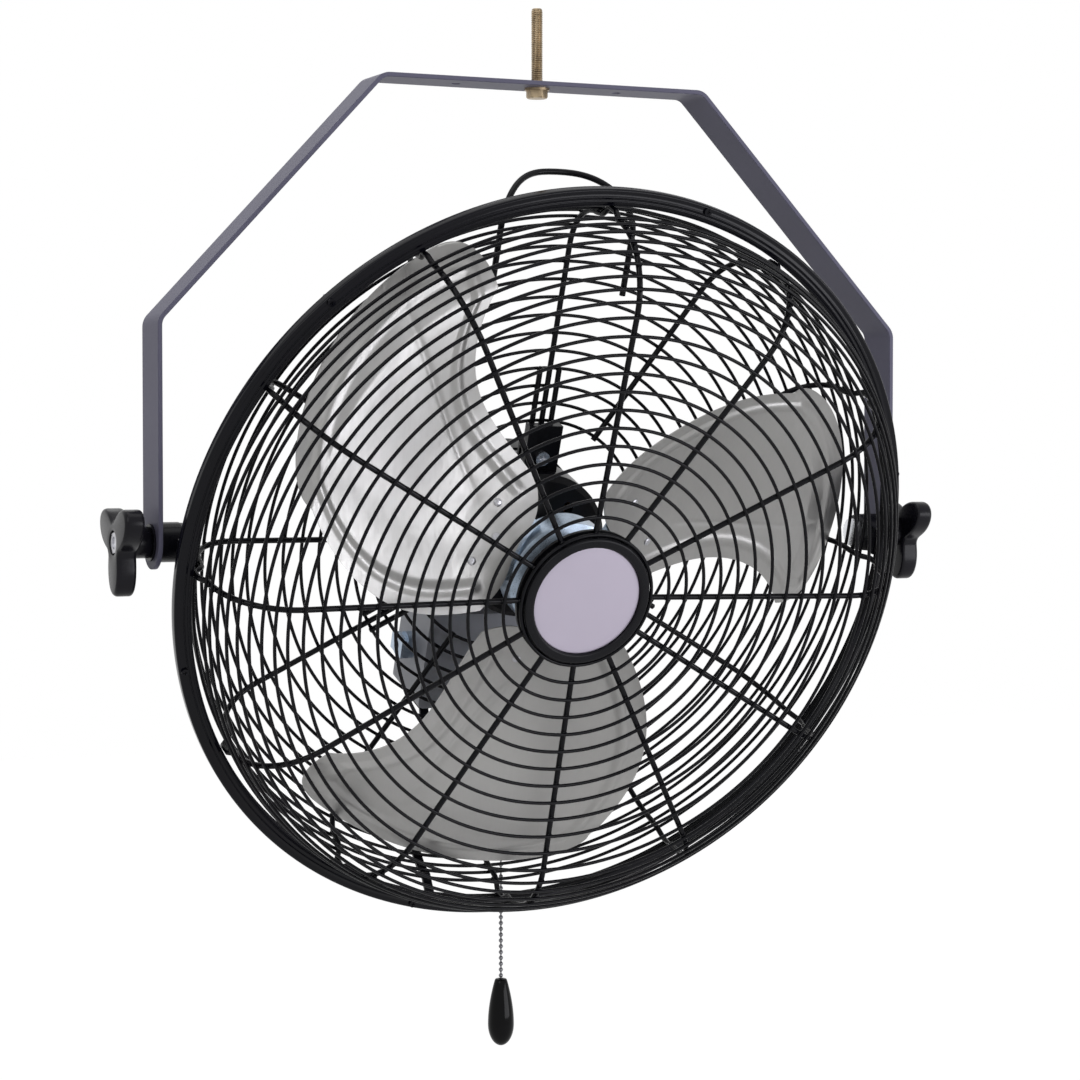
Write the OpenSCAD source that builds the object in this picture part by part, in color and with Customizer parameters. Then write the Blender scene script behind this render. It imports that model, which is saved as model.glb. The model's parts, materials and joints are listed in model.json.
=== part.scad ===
// Industrial wall fan, hung from a bent steel yoke
// Origin at the middle of the yoke's top face, +Z up, the fan blows towards -Y, millimetres

/* [Yoke] */
// Distance from the yoke's top face down to the pivot axis
pivot_drop = 308; // [304:1:330]
// Distance between the two virtual corners of the top bar
top_w = 238; // [200:1:260]
// Height of the leg bends above the pivot axis
bend_h = 143.5; // [130:0.5:160]
// Width of the steel bar
bar_w = 35; // [30:0.5:40]
// Thickness of the steel bar
bar_t = 3; // [2.5:0.1:4]
// Distance between the two mounting holes in the top bar
mount_pitch = 120; // [100:1:150]
// Diameter of the mounting holes
mount_hole_d = 6.5; // [5:0.1:9]

/* [Hanger bolt] */
// Shank diameter
hanger_d = 8; // [6:0.5:10]
// Diameter of the thread above the yoke's top face
hanger_thread_d = 7.9; // [5.9:0.1:9.9]
// Diameter of the undercut between the shank and the thread
hanger_relief_d = 6.5; // [4.5:0.1:8]
// Length of the undercut between the shank and the thread
hanger_relief_l = 1.2; // [1.1:0.1:2]
// Length of the shank above the yoke's top face
hanger_up = 51; // [30:1:80]
// Width across the flats of the hexagon head
hanger_af = 13; // [11:0.5:17]
// Height of the hexagon head
hanger_head_h = 5.3; // [4:0.1:7]
// Washer diameter
hanger_washer_d = 17; // [15:0.5:24]
// Washer thickness
hanger_washer_t = 1.6; // [1:0.1:2.5]

/* [Pivots] */
// How far the head is tipped forward at rest
tilt = 21; // [0:1:45]
// Distance from the pivot axis down to the fan's axis
axis_drop = 9; // [5:0.5:12]
// Pivot bolt diameter
pivot_bolt_d = 8; // [6:0.5:10]
// How far the outer face of a pivot plate lies inside the rim's outer face
ear_inset = 10; // [8:0.5:11.5]
// Thickness of a pivot plate
ear_t = 2.5; // [2:0.1:3]
// Height of a pivot plate
ear_h = 25; // [22:0.5:28]
// Spacer diameter
spacer_d = 26; // [20:0.5:30]
// Length of the spacer between a pivot plate and the yoke's leg
spacer_l = 15; // [12:0.5:30]
// Diameter of the pivot bolt's round head
bolt_head_d = 19.4; // [16:0.2:21]
// Height of the pivot bolt's round head
bolt_head_h = 4.6; // [3:0.1:4.8]
// Number of serrations on the pivot bolt's head
bolt_serrations = 24; // [12:1:36]

/* [Clamp knobs] */
// Reach of a knob's lobes from its axis
knob_reach = 34.5; // [30:0.5:40]
// Radius of a lobe's round end
lobe_r = 9; // [7:0.5:10]
// Thickness of the lobes
lobe_t = 13; // [10:0.5:16]
// Diameter of the knob's stem
knob_stem_d = 20.5; // [16:0.5:24]
// Length of the knob's stem
knob_stem_l = 11; // [8:0.5:16]
// Washer diameter
knob_washer_d = 24; // [18:0.5:28]
// Washer thickness
knob_washer_t = 1.5; // [1:0.1:2.5]
// Width across the flats of the moulded nut
knob_nut_af = 13; // [12:0.5:15]
// Height of the moulded nut
knob_nut_h = 6.5; // [5:0.5:8]

/* [Rim] */
// Outer diameter of the rim
rim_d = 530; // [528:1:534]
// Depth of the rim along the fan's axis
rim_depth = 8; // [7.6:0.1:10]
// Distance from the pivot axis forward to the rim's front face
rim_front = 35; // [34:0.5:38]
// Height of the rim's flanges
rim_flange = 11.4; // [10.5:0.1:12]
// Sheet thickness of the rim
rim_t = 1; // [0.8:0.1:1.2]
// Number of rim screws
rim_screw_n = 6; // [4:1:10]
// Angle of the first rim screw
rim_screw_a = 15; // [10:1:20]
// Shank diameter of a rim screw
rim_screw_d = 3; // [2.5:0.1:3.2]

/* [Guards] */
// Number of spokes in each guard
spoke_n = 12; // [6:6:18]
// Spoke diameter
spoke_d = 4; // [3:0.1:4.5]
// Ring wire diameter
ring_d = 2.4; // [2:0.1:3]
// Diameter of the end ring inside the rim
end_ring_d = 2.9; // [2.5:0.1:2.95]
// Radius of the first guard ring
ring_r0 = 47; // [46:0.2:49]
// Distance between flat guard rings
ring_pitch = 12.6; // [11.5:0.1:13.5]
// Number of flat guard rings on the front guard
ring_n = 13; // [12:1:13]
// Distance between guard rings round the corner
corner_pitch = 8.2; // [7:0.1:9]
// Number of guard rings round the corner
corner_n = 9; // [7:1:9]
// Distance from the pivot axis forward to the front guard's rings
front_ring_f = 94.4; // [90:0.2:98]
// How far the front guard is dished in at its middle
front_dish = 6.4; // [4:0.1:8]
// Corner radius of the front guard
front_corner = 50; // [48:0.5:52]
// Distance from the rim's outside in to where the front guard starts to curve
front_shoulder = 65; // [63:0.5:67]
// Distance from the pivot axis back to the rear guard's rings
rear_ring_f = 24.5; // [23:0.1:26]
// Corner radius of the rear guard
rear_corner = 36; // [34:0.5:38]
// Distance from the rim's outside in to where the rear guard starts to curve
rear_shoulder = 55; // [54:0.5:57]
// Rings left out in the middle of the rear guard
rear_skip = 3; // [3:1:5]

/* [Hub cap] */
// Diameter of the cap
cap_d = 90; // [80:1:92]
// Diameter of the badge disc
badge_d = 76.2; // [60:0.2:78]
// Height of the cap's raised edge over the spokes
cap_h = 3.8; // [3:0.1:6]
// Depth of the badge disc below the raised edge
badge_sink = 2.2; // [1:0.1:2.4]
// Thickness of the badge disc
badge_t = 0.8; // [0.5:0.1:1]
// Diameter of the hub plate
hub_plate_d = 96; // [90:1:100]
// Thickness of the hub plate
hub_plate_t = 2.5; // [2:0.1:3]

/* [Carry handle] */
// Wire diameter
handle_d = 4.4; // [4:0.1:5]
// Half the distance between the handle's legs
handle_x = 48.5; // [40:0.5:55]
// How far the handle stands out behind the rear guard
handle_out = 31; // [25:0.5:36]
// Height of the handle's top above the fan's axis
handle_top = 250; // [244:0.5:256]
// Height of the lower ends of the handle's legs
handle_low = 174; // [168:0.5:180]

/* [Motor] */
// Motor diameter
motor_d = 106; // [104:1:110]
// Wall thickness of the end bells
bell_t = 3.5; // [3:0.1:4]
// Length of the front bell
front_bell_l = 30; // [28:0.5:32]
// Length of the stator core
core_l = 25; // [20:0.5:30]
// Length of the rear bell
rear_bell_l = 24; // [22:0.5:28]
// Shaft diameter
shaft_d = 12; // [10:0.5:12.5]
// Bearing outer diameter
bearing_d = 32; // [30:0.5:33]
// Bearing width
bearing_w = 10; // [8:0.5:10]
// Rotor diameter
rotor_d = 56; // [50:0.5:58]
// Distance from the fan's axis to a mount screw
arm_screw_r = 62; // [60:0.5:68]
// Width of a mount arm
arm_w = 25; // [22:0.5:28]
// Reach of a mount arm
arm_reach = 85; // [78:0.5:88]
// Thickness of a mount arm
arm_t = 7.2; // [5:0.1:8]
// Half the distance between two mount bars
bar_half = 7; // [6:0.5:8]
// Outer end of the mount bars
bar_reach = 124; // [122:0.5:126]
// Mount screw diameter
arm_screw_d = 5; // [4:0.5:6]

/* [Blades] */
// Number of blades
blade_n = 3; // [3:1:3]
// Largest tip radius
tip_r = 233.3; // [225:0.1:235]
// Radius where the rounding of the tip starts
tip_r0 = 198; // [190:1:202]
// Radius of the root at its middle
root_r = 43; // [42:0.5:46]
// Sheet thickness
blade_t = 1.2; // [0.8:0.1:1.5]
// Hollow of the blade along its middle
blade_camber = 5; // [0:0.5:8]
// Rivet shank diameter
rivet_d = 4.8; // [4:0.1:5]
// Diameter of a rivet's round head
rivet_head_d = 6; // [5.5:0.1:7]
// Height of a rivet's round head
rivet_head_h = 1.4; // [1:0.1:1.8]

/* [Blade hub] */
// Diameter of the hub cup
hub_d = 80; // [76:0.5:82]
// Diameter of the hub's nose
hub_nose_d = 64; // [60:0.5:70]
// Sheet thickness of the hub
hub_t = 2; // [1.5:0.1:2.5]
// Distance from the pivot axis forward to the back edge of the hub
hub_back = 33; // [31:0.5:34]
// Distance from the pivot axis forward to the front face of the hub
hub_front = 58; // [56:0.5:60]

/* [Switch box] */
// Width of the box
box_w = 90; // [84:1:96]
// Height of the box
box_h = 72; // [68:1:76]
// Depth of the box
box_depth = 50; // [46:1:54]
// Sideways offset of the box
box_x = -11; // [-14:0.5:-8]
// Distance from the fan's axis down to the top of the box
box_drop = 62; // [60:0.5:66]
// Distance from the pivot axis back to the front of the box
box_front = 30; // [29:0.5:32]
// Wall thickness
box_t = 2; // [1.5:0.1:2.5]
// Corner radius
box_corner = 4; // [3:0.5:6]
// Width of the pull switch's body
switch_w = 17; // [14:0.5:18]
// Height of the pull switch
switch_h = 24; // [18:1:30]
// Width of the support strut
strut_w = 6.5; // [5:0.5:8]
// Thickness of the support strut
strut_t = 2; // [1.5:0.1:3]
// Sideways position of the support strut
strut_x = -50; // [-52:0.5:-46]

/* [Pull chain] */
// Distance from the box's right side to the pull switch's axis
chain_in = 13; // [12:0.5:18]
// Distance from the pivot axis back to the pull switch
chain_f = 58; // [54:0.5:60]
// Bead diameter
bead_d = 3.2; // [2.8:0.1:3.6]
// Distance between beads
bead_pitch = 4.25; // [3.8:0.05:4.6]
// Number of beads
bead_n = 47; // [30:1:60]
// Width of the teardrop pull
pull_w = 19; // [16:0.5:22]
// Width of the pull at its top, where the chain enters
pull_neck_w = 8.8; // [6:0.2:12]
// Length of the teardrop pull
pull_l = 49; // [40:0.5:56]
// Travel of the pull switch
pull_travel = 10; // [6:0.5:10]

/* [Hidden] */
$fn = 48;
fit = 0.05; // radial clearance of pins in their holes
seat = 0.1; // clearance between curved pieces that rest on each other
hanger_run = 0.5; // plain shank that shows above the yoke, below the undercut
rim_r = rim_d / 2;
ear_out = rim_r - ear_inset;
leg_in = ear_out + spacer_l;
yoke_w = 2 * (leg_in + bar_t); // distance between the outer faces of the two legs
wire_r = ring_d / 2;
spoke_r = spoke_d / 2;
ring_off = wire_r + spoke_r;
rim_back = rim_front - rim_depth;
lip_r = rim_r - rim_flange;
end_r = lip_r - seat + end_ring_d / 2;
meet_f = (rim_front + rim_back) / 2;
spoke_end_r = lip_r - 0.3 - spoke_r;
front_arc_f = front_ring_f - front_corner;
front_arc_r = rim_r - front_shoulder;
rear_arc_f = rear_corner - rear_ring_f;
rear_arc_r = rim_r - rear_shoulder;
ring_last = ring_r0 + ring_pitch * (ring_n - 1);
corner_r0 = ring_last + 10.2;
front_slope = front_dish / (front_arc_r - ring_r0);
hub_f = front_ring_f - front_dish - ring_off;
plate_f = hub_f - spoke_r;
cap_f = hub_f + spoke_r + seat;
rear_spoke_f = -rear_ring_f + ring_off;
arm_f = rear_spoke_f + spoke_r + seat;
clamp_f = rear_spoke_f - spoke_r - seat;
motor_r = motor_d / 2;
shaft_r = shaft_d / 2;
core_f = -front_bell_l;
core_end = core_f - core_l;
rear_end = core_end - rear_bell_l;
knob_f = yoke_w / 2 + knob_washer_t + seat;
bolt_r = pivot_bolt_d / 2;
knob_end = knob_f + knob_stem_l + lobe_t;
box_top = -box_drop;
box_low = box_top - box_h;
box_back = -box_front - box_depth;
chain_x = box_x + box_w / 2 - chain_in;
boss_l = -box_back - chain_f - switch_w / 2 - 0.5;
nipple_r = 7;
nipple_f = core_end - rear_bell_l / 2;
nozzle_r = 4.5;
nozzle_l = 7;
stem_r = bead_d / 2;
stem_top = box_low + box_t + 5;
eye_y = box_low - nozzle_l - 4;
chain_y = chain_f * cos(tilt) - (eye_y - axis_drop) * sin(tilt);
chain_z = chain_f * sin(tilt) + (eye_y - axis_drop) * cos(tilt) - pivot_drop;

// Placement: x to the right, y up in the guard's plane, z forward along the fan's axis
module fan() {
  translate([0, 0, -pivot_drop]) rotate([tilt, 0, 0]) translate([0, 0, -axis_drop]) rotate([90, 0, 0])
    children();
}

// Along the pivot axis: z runs outwards on the right (s = 1) or on the left (s = -1)
module pivot(s) {
  translate([0, 0, -pivot_drop]) rotate([tilt, 0, 0]) rotate([0, s * 90, 0]) children();
}

function unit(v) = v / norm(v);
function along(p, i) = unit(i == 0 ? p[1] - p[0]
  : i == len(p) - 1 ? p[i] - p[i - 1]
  : unit(p[i + 1] - p[i]) + unit(p[i] - p[i - 1]));

// A round wire swept along the points p, where ref is never parallel to the wire
module wire(p, r, ref, sides) {
  n = len(p);
  pts = [for (i = [0:n - 1])
    let (d = along(p, i), s = unit(cross(d, ref)), u = cross(s, d))
    for (k = [0:sides - 1]) p[i] + r * (cos(360 * k / sides) * s + sin(360 * k / sides) * u)];
  walls = [for (i = [0:n - 2]) for (k = [0:sides - 1])
    let (a = i * sides + k, b = i * sides + (k + 1) % sides)
    each [[a, b, b + sides], [a, b + sides, a + sides]]];
  first = [for (k = [0:sides - 1]) sides - 1 - k];
  last = [for (k = [0:sides - 1]) (n - 1) * sides + k];
  polyhedron(pts, concat(walls, [first, last]), convexity = 6);
}

// A hexagonal prism with the given width across its flats
module hexagon(af, h) {
  cylinder(r = af / sqrt(3), h = h, $fn = 6);
}

module round_box(w, h, d, r) {
  for (x = [r - w / 2, w / 2 - r]) for (y = [r - h / 2, h / 2 - r]) translate([x, y, 0]) cylinder(r = r, h = d);
  translate([-w / 2 + r, -h / 2, 0]) cube([w - 2 * r, h, d]);
  translate([-w / 2, -h / 2 + r, 0]) cube([w, h - 2 * r, d]);
}

// Yoke and its hanger bolt

// Outline of the bar, at a distance inside its outer face
yoke_n = unit([bend_h - pivot_drop, top_w / 2 - yoke_w / 2]) * -1;
function yoke_pts(inset) = let (
    x2 = yoke_w / 2 - inset,
    z2 = -inset,
    c = yoke_n * ([top_w / 2, 0] - [0, 0]) - inset,
    xt = (c - yoke_n[1] * z2) / yoke_n[0],
    zb = (c - yoke_n[0] * x2) / yoke_n[1])
  [[xt, z2], [x2, zb]];

module yoke_outline(inset, low) {
  a = yoke_pts(inset);
  polygon([[-a[0][0], a[0][1]], a[0], a[1], [a[1][0], low], [-a[1][0], low], [-a[1][0], a[1][1]]]);
}

module yoke() {
  color([0.19, 0.18, 0.22]) difference() {
    union() {
      rotate([90, 0, 0]) translate([0, 0, -bar_w / 2]) linear_extrude(bar_w) difference() {
        yoke_outline(0, -pivot_drop);
        yoke_outline(bar_t, -pivot_drop - bar_w);
      }
      for (x = [leg_in, -yoke_w / 2]) translate([x, 0, -pivot_drop]) rotate([0, 90, 0]) linear_extrude(bar_t) difference() {
        circle(d = bar_w, $fn = 96);
        translate([-bar_w, -bar_w]) square([bar_w, 2 * bar_w]);
      }
    }
    for (x = [-mount_pitch / 2, mount_pitch / 2]) translate([x, 0, -2 * bar_t]) cylinder(d = mount_hole_d, h = 3 * bar_t);
    translate([0, 0, -2 * bar_t]) cylinder(d = hanger_d + 2 * fit, h = 3 * bar_t);
    for (s = [-1, 1]) pivot(s) translate([0, 0, leg_in - bar_t]) cylinder(r = bolt_r + fit, h = 3 * bar_t);
  }
}

module hanger_washer() {
  color([0.72, 0.62, 0.42]) translate([0, 0, -bar_t - hanger_washer_t]) difference() {
    cylinder(d = hanger_washer_d, h = hanger_washer_t);
    translate([0, 0, -1]) cylinder(d = hanger_d + 4 * fit, h = hanger_washer_t + 2);
  }
}

module hanger_bolt() {
  under = bar_t + hanger_washer_t;
  color([0.62, 0.5, 0.3]) {
    translate([0, 0, -under - hanger_head_h]) hexagon(hanger_af, hanger_head_h);
    translate([0, 0, -under - 1]) cylinder(d = hanger_d, h = under + 1 + hanger_run);
    translate([0, 0, -1]) cylinder(d = hanger_relief_d, h = hanger_run + hanger_relief_l + 2);
    translate([0, 0, hanger_run + hanger_relief_l]) cylinder(d = hanger_thread_d, h = hanger_up - hanger_run - hanger_relief_l);
  }
}

// Pivots

module knob() {
  color([0.05, 0.05, 0.06]) difference() {
    union() {
      translate([0, 0, knob_f]) cylinder(d = knob_stem_d, h = knob_stem_l + lobe_t - 1);
      translate([0, 0, knob_f + knob_stem_l]) for (k = [0:2]) rotate([0, 0, 120 * k - tilt]) {
        translate([knob_reach - lobe_r, 0, 0]) cylinder(r = lobe_r, h = lobe_t);
        translate([0, -0.8 * lobe_r, 0]) cube([knob_reach - lobe_r, 1.6 * lobe_r, lobe_t]);
      }
    }
    cylinder(r = bolt_r + fit, h = knob_end + 1);
    translate([0, 0, knob_end - knob_nut_h - 1]) cylinder(r = (knob_nut_af + 2 * fit) / sqrt(3), h = lobe_t, $fn = 6);
  }
}

module knob_left() {
  pivot(-1) mirror([1, 0, 0]) knob();
}

module knob_right() {
  pivot(1) knob();
}

module knob_nut() {
  color([0.6, 0.6, 0.64]) translate([0, 0, knob_end - knob_nut_h - 1]) difference() {
    hexagon(knob_nut_af, knob_nut_h);
    translate([0, 0, -1]) cylinder(r = bolt_r + fit, h = knob_nut_h + 2);
  }
}

module knob_nut_left() {
  pivot(-1) knob_nut();
}

module knob_nut_right() {
  pivot(1) knob_nut();
}

module knob_washers() {
  color([0.1, 0.1, 0.11]) for (s = [-1, 1]) pivot(s) translate([0, 0, yoke_w / 2 + seat / 2]) difference() {
    cylinder(d = knob_washer_d, h = knob_washer_t);
    translate([0, 0, -1]) cylinder(r = bolt_r + fit, h = knob_washer_t + 2);
  }
}

module spacers() {
  color([0.09, 0.09, 0.1]) for (s = [-1, 1]) pivot(s) translate([0, 0, ear_out]) difference() {
    cylinder(d = spacer_d, h = leg_in - ear_out);
    translate([0, 0, -1]) cylinder(r = bolt_r + fit, h = leg_in);
  }
}

module pivot_bolts() {
  ear_in = ear_out - ear_t;
  color([0.74, 0.75, 0.78]) for (s = [-1, 1]) pivot(s) {
    translate([0, 0, ear_in - bolt_head_h]) difference() {
      cylinder(d = bolt_head_d, h = bolt_head_h);
      for (k = [1:bolt_serrations]) rotate([0, 0, 360 * k / bolt_serrations]) translate([bolt_head_d / 2, 0, -1])
        cylinder(d = 0.9, h = bolt_head_h + 2, $fn = 16);
    }
    translate([0, 0, ear_in]) cylinder(r = bolt_r, h = knob_end - 2 - ear_in);
  }
}

// Pivot plate with a foot that lies on the back of the rim
module ear(s) {
  foot_r = rim_r - 1.5;
  color([0.09, 0.09, 0.1]) difference() {
    union() {
      pivot(s) translate([0, 0, ear_out - ear_t]) cylinder(d = ear_h, h = ear_t);
      fan() translate([s > 0 ? ear_out - ear_t : -ear_out, 0, 0]) rotate([90, 0, 90]) linear_extrude(ear_t)
        polygon([[axis_drop + ear_h / 2, 0], [axis_drop + ear_h / 2, rim_back], [axis_drop - ear_h / 4, rim_back],
          [axis_drop - ear_h / 4, rim_back - 7], [axis_drop - ear_h / 2, 3], [axis_drop - ear_h / 2, 0]]);
      fan() translate([s > 0 ? ear_out - ear_t : -foot_r, axis_drop - ear_h / 4, rim_back - ear_t])
        cube([foot_r - ear_out + ear_t, 3 * ear_h / 4, ear_t]);
    }
    pivot(s) translate([0, 0, ear_out - 2 * ear_t]) cylinder(r = bolt_r + fit, h = 3 * ear_t);
  }
}

module ear_left() {
  ear(-1);
}

module ear_right() {
  ear(1);
}

// Rim

module rim_section() {
  difference() {
    union() {
      translate([lip_r, rim_back]) square([rim_flange - 1.5, rim_depth]);
      translate([lip_r, rim_back + 1.5]) square([rim_flange, rim_depth - 3]);
      for (f = [rim_back + 1.5, rim_front - 1.5]) translate([rim_r - 1.5, f]) circle(r = 1.5);
    }
    translate([lip_r - 1, rim_back + rim_t]) square([rim_flange + 1 - rim_t, rim_depth - 2 * rim_t]);
  }
}

screw_r = rim_r - rim_t - rim_screw_d / 2 - 1.1;

module at_rim_screws() {
  for (k = [0:rim_screw_n - 1]) rotate([0, 0, rim_screw_a + 360 * k / rim_screw_n]) translate([screw_r, 0, 0]) children();
}

module rim_ring() {
  color([0.05, 0.05, 0.07]) fan() difference() {
    rotate_extrude($fn = 160) rim_section();
    at_rim_screws() translate([0, 0, rim_back - 1]) cylinder(d = rim_screw_d + 2 * fit, h = rim_depth + 2);
  }
}

module rim_screws() {
  head_h = 1.5;
  color([0.07, 0.07, 0.08]) fan() at_rim_screws() difference() {
    union() {
      translate([0, 0, rim_back - 2.4]) cylinder(d = rim_screw_d, h = rim_depth + 2.4 + head_h);
      translate([0, 0, rim_front]) cylinder(d = rim_screw_d + 2.2, h = head_h);
    }
    for (a = [0, 90]) rotate([0, 0, a]) translate([-1.4, -0.35, rim_front + head_h - 0.9]) cube([2.8, 0.7, 2]);
  }
}

module rim_nuts() {
  color([0.6, 0.6, 0.64]) fan() at_rim_screws() translate([0, 0, rim_back - 2]) difference() {
    hexagon(rim_screw_d + 1.6, 2);
    translate([0, 0, -1]) cylinder(d = rim_screw_d + 2 * fit, h = 4);
  }
}

// Guards

module ring(r, f, d = ring_d) {
  translate([0, 0, f]) rotate_extrude($fn = 96) translate([r, 0]) circle(d = d, $fn = 12);
}

// Places of the rings: radius and distance forward
front_flat = [for (k = [0:ring_n - 1]) [ring_r0 + ring_pitch * k, front_ring_f - front_dish + front_slope * ring_pitch * k]];
rear_flat = [for (k = [rear_skip:ring_n - 1]) [ring_r0 + ring_pitch * k, -rear_ring_f]];

// A point at length s past the last flat ring, round the corner of radius c about (cr, cf)
function corner_pt(s, c, cr, cf, side, inset) = let (flat = cr - corner_r0, a = (s - flat) / c * 180 / PI)
  s < flat ? [corner_r0 + s, cf + side * (c - inset)]
  : a < 90 ? [cr + (c - inset) * sin(a), cf + side * (c - inset) * cos(a)]
  : [cr + c - inset + (a - 90) * 0.004 * c, cf - side * (a - 90) * 0.0165 * c];
front_round = [for (k = [0:corner_n - 1]) corner_pt(corner_pitch * k, front_corner, front_arc_r, front_arc_f, 1, 0)];
rear_round = [for (k = [0:corner_n - 1]) corner_pt(corner_pitch * k, rear_corner, rear_arc_r, rear_arc_f, -1, 0)];

module front_rings() {
  color([0.05, 0.05, 0.07]) fan() {
    for (p = concat(front_flat, front_round)) ring(p[0], p[1]);
    ring(end_r, rim_front - rim_t - end_ring_d / 2 - fit, end_ring_d);
  }
}

module rear_rings() {
  color([0.05, 0.05, 0.07]) fan() {
    for (p = concat(rear_flat, rear_round)) ring(p[0], p[1]);
    ring(end_r, rim_back + rim_t + end_ring_d / 2 + fit, end_ring_d);
  }
}

function arc_path(c, cr, cf, side) = [for (a = [0:10:90])
  [cr + (c - ring_off) * sin(a), 0, cf + side * (c - ring_off) * cos(a)]];

module spokes(path) {
  for (k = [0:spoke_n - 1]) rotate([0, 0, 360 * k / spoke_n]) wire(path, spoke_r - seat / 2, [0, 1, 0], 8);
}

module front_spokes() {
  color([0.05, 0.05, 0.07]) fan() spokes(concat(
    [[cap_d / 3, 0, hub_f], [ring_r0, 0, hub_f]],
    arc_path(front_corner, front_arc_r, front_arc_f, 1),
    [[spoke_end_r, 0, rim_front + 3], [spoke_end_r, 0, meet_f + 0.2]]));
}

module rear_spokes() {
  in_r = ring_r0 + ring_pitch * rear_skip - ring_d;
  last = rear_round[corner_n - 1];
  color([0.05, 0.05, 0.07]) fan() spokes(concat(
    [[in_r, 0, rear_spoke_f]],
    arc_path(rear_corner, rear_arc_r, rear_arc_f, -1),
    [[last[0] - ring_off - 0.15, 0, last[1] + spoke_r / 2], [last[0] - 0.8, 0, last[1] + ring_off + spoke_r],
      [spoke_end_r, 0, rim_back + rim_t / 2], [spoke_end_r, 0, meet_f - 0.2]]));
}

// Straight bars beside every second upper spoke, which carry the motor
module at_arms() {
  for (a = [90, 210, 330]) rotate([0, 0, a]) children();
}

module mount_bars() {
  low_r = arm_screw_r - 8;
  color([0.05, 0.05, 0.07]) fan() at_arms() for (y = [-bar_half, bar_half]) translate([low_r, y, rear_spoke_f])
    rotate([0, 90, 0]) cylinder(r = spoke_r - seat / 2, h = bar_reach - low_r);
}

// Hub cap

module hub_plate() {
  color([0.05, 0.05, 0.06]) fan() translate([0, 0, plate_f - hub_plate_t]) difference() {
    cylinder(d = hub_plate_d, h = hub_plate_t);
    translate([0, 0, -1]) cylinder(d = arm_screw_d + 2 * fit, h = hub_plate_t + 2);
  }
}

module hub_cap() {
  edge = 1.6;
  top = cap_f + cap_h;
  color([0.06, 0.06, 0.07]) fan() difference() {
    union() {
      rotate_extrude($fn = 96) difference() {
        union() {
          translate([0, cap_f]) square([cap_d / 2, cap_h - edge]);
          translate([0, cap_f]) square([cap_d / 2 - edge, cap_h]);
          translate([cap_d / 2 - edge, top - edge]) circle(r = edge);
        }
        translate([-1, top - badge_sink - badge_t]) square([badge_d / 2 + fit + 1, cap_h]);
      }
      translate([0, 0, plate_f]) cylinder(d = 0.55 * cap_d, h = cap_f - plate_f + 0.5);
    }
    translate([0, 0, plate_f - 1]) cylinder(d = arm_screw_d + 2 * fit, h = spoke_d);
  }
}

module badge_disc() {
  color([0.68, 0.66, 0.7]) fan() translate([0, 0, cap_f + cap_h - badge_sink - badge_t]) cylinder(d = badge_d, h = badge_t);
}

module cap_screw() {
  color([0.6, 0.6, 0.64]) fan() {
    translate([0, 0, plate_f - hub_plate_t]) cylinder(d = arm_screw_d, h = hub_plate_t + spoke_d - 1.5);
    translate([0, 0, plate_f - hub_plate_t - 2.5]) cylinder(d = 2 * arm_screw_d, h = 2.5);
  }
}

// Carry handle: up the rear rings on each side, then back and over in one bend

module carry_handle() {
  leg_f = -rear_ring_f - wire_r - handle_d / 2;
  knee = handle_top - 33;
  span = -handle_out;
  half = [for (t = [0:15:90]) [
    handle_x * pow(cos(t), 0.62),
    knee + (handle_top - knee) * sin(t),
    leg_f + span * (1 - pow(cos(t), 1.3))]];
  left = [for (p = half) [-p[0], p[1], p[2]]];
  right = [for (i = [len(half) - 2:-1:0]) half[i]];
  color([0.05, 0.05, 0.07]) fan() wire(concat([[-handle_x, handle_low, leg_f], [-handle_x, knee - 12, leg_f]], left, right,
    [[handle_x, knee - 12, leg_f], [handle_x, handle_low, leg_f]]), handle_d / 2 - seat / 2, [0.03, 0.4, 1], 10);
}

// Motor

bell_in = motor_r - bell_t;
nose_r = bearing_d / 2 + 6;
nose_f = 19;
motor_bolt_r = bell_in - 2.6;

module at_motor_bolts() {
  for (a = [45:90:315]) rotate([0, 0, a]) translate([motor_bolt_r, 0, 0]) children();
}

module front_bell() {
  pocket = nose_f - 2;
  color([0.06, 0.06, 0.07]) fan() difference() {
    union() {
      rotate_extrude($fn = 96) polygon([[motor_r, core_f], [motor_r, -5], [motor_r - 4, -1], [nose_r + 5, 7], [nose_r, 10],
        [nose_r, nose_f], [shaft_r + 1, nose_f], [shaft_r + 1, pocket], [bearing_d / 2 + fit, pocket],
        [bearing_d / 2 + fit, pocket - bearing_w], [nose_r, pocket - bearing_w - 2], [bell_in - 4, -5],
        [bell_in, -8], [bell_in, core_f]]);
      at_motor_bolts() translate([0, 0, core_f + 1]) cylinder(r = 3.6, h = 25);
      for (a = [90, 210, 330]) rotate([0, 0, a]) difference() {
        translate([bell_in + 1, -arm_w / 2, arm_f]) cube([arm_reach - bell_in - 1, arm_w, arm_t]);
        translate([arm_screw_r, 0, arm_f - 1]) cylinder(d = arm_screw_d + 2 * fit, h = arm_t + 2);
      }
    }
    for (k = [0:5]) rotate([0, 0, 60 * k]) translate([0.68 * motor_r, 0, -12]) cylinder(r = 4, h = 40);
    at_motor_bolts() translate([0, 0, core_f - 1]) cylinder(r = 2 + fit, h = 16);
  }
}

module stator_core() {
  color([0.45, 0.45, 0.47]) fan() translate([0, 0, core_end]) difference() {
    cylinder(r = motor_r - 1.5, h = core_l, $fn = 96);
    translate([0, 0, -1]) cylinder(r = rotor_d / 2 + 0.3, h = core_l + 2);
    for (k = [0:11]) rotate([0, 0, 30 * k]) translate([rotor_d / 2 + 3, -2.5, -1]) cube([10, 5, core_l + 2]);
    at_motor_bolts() translate([0, 0, -1]) cylinder(r = 2 + fit, h = core_l + 2);
  }
}

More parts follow.
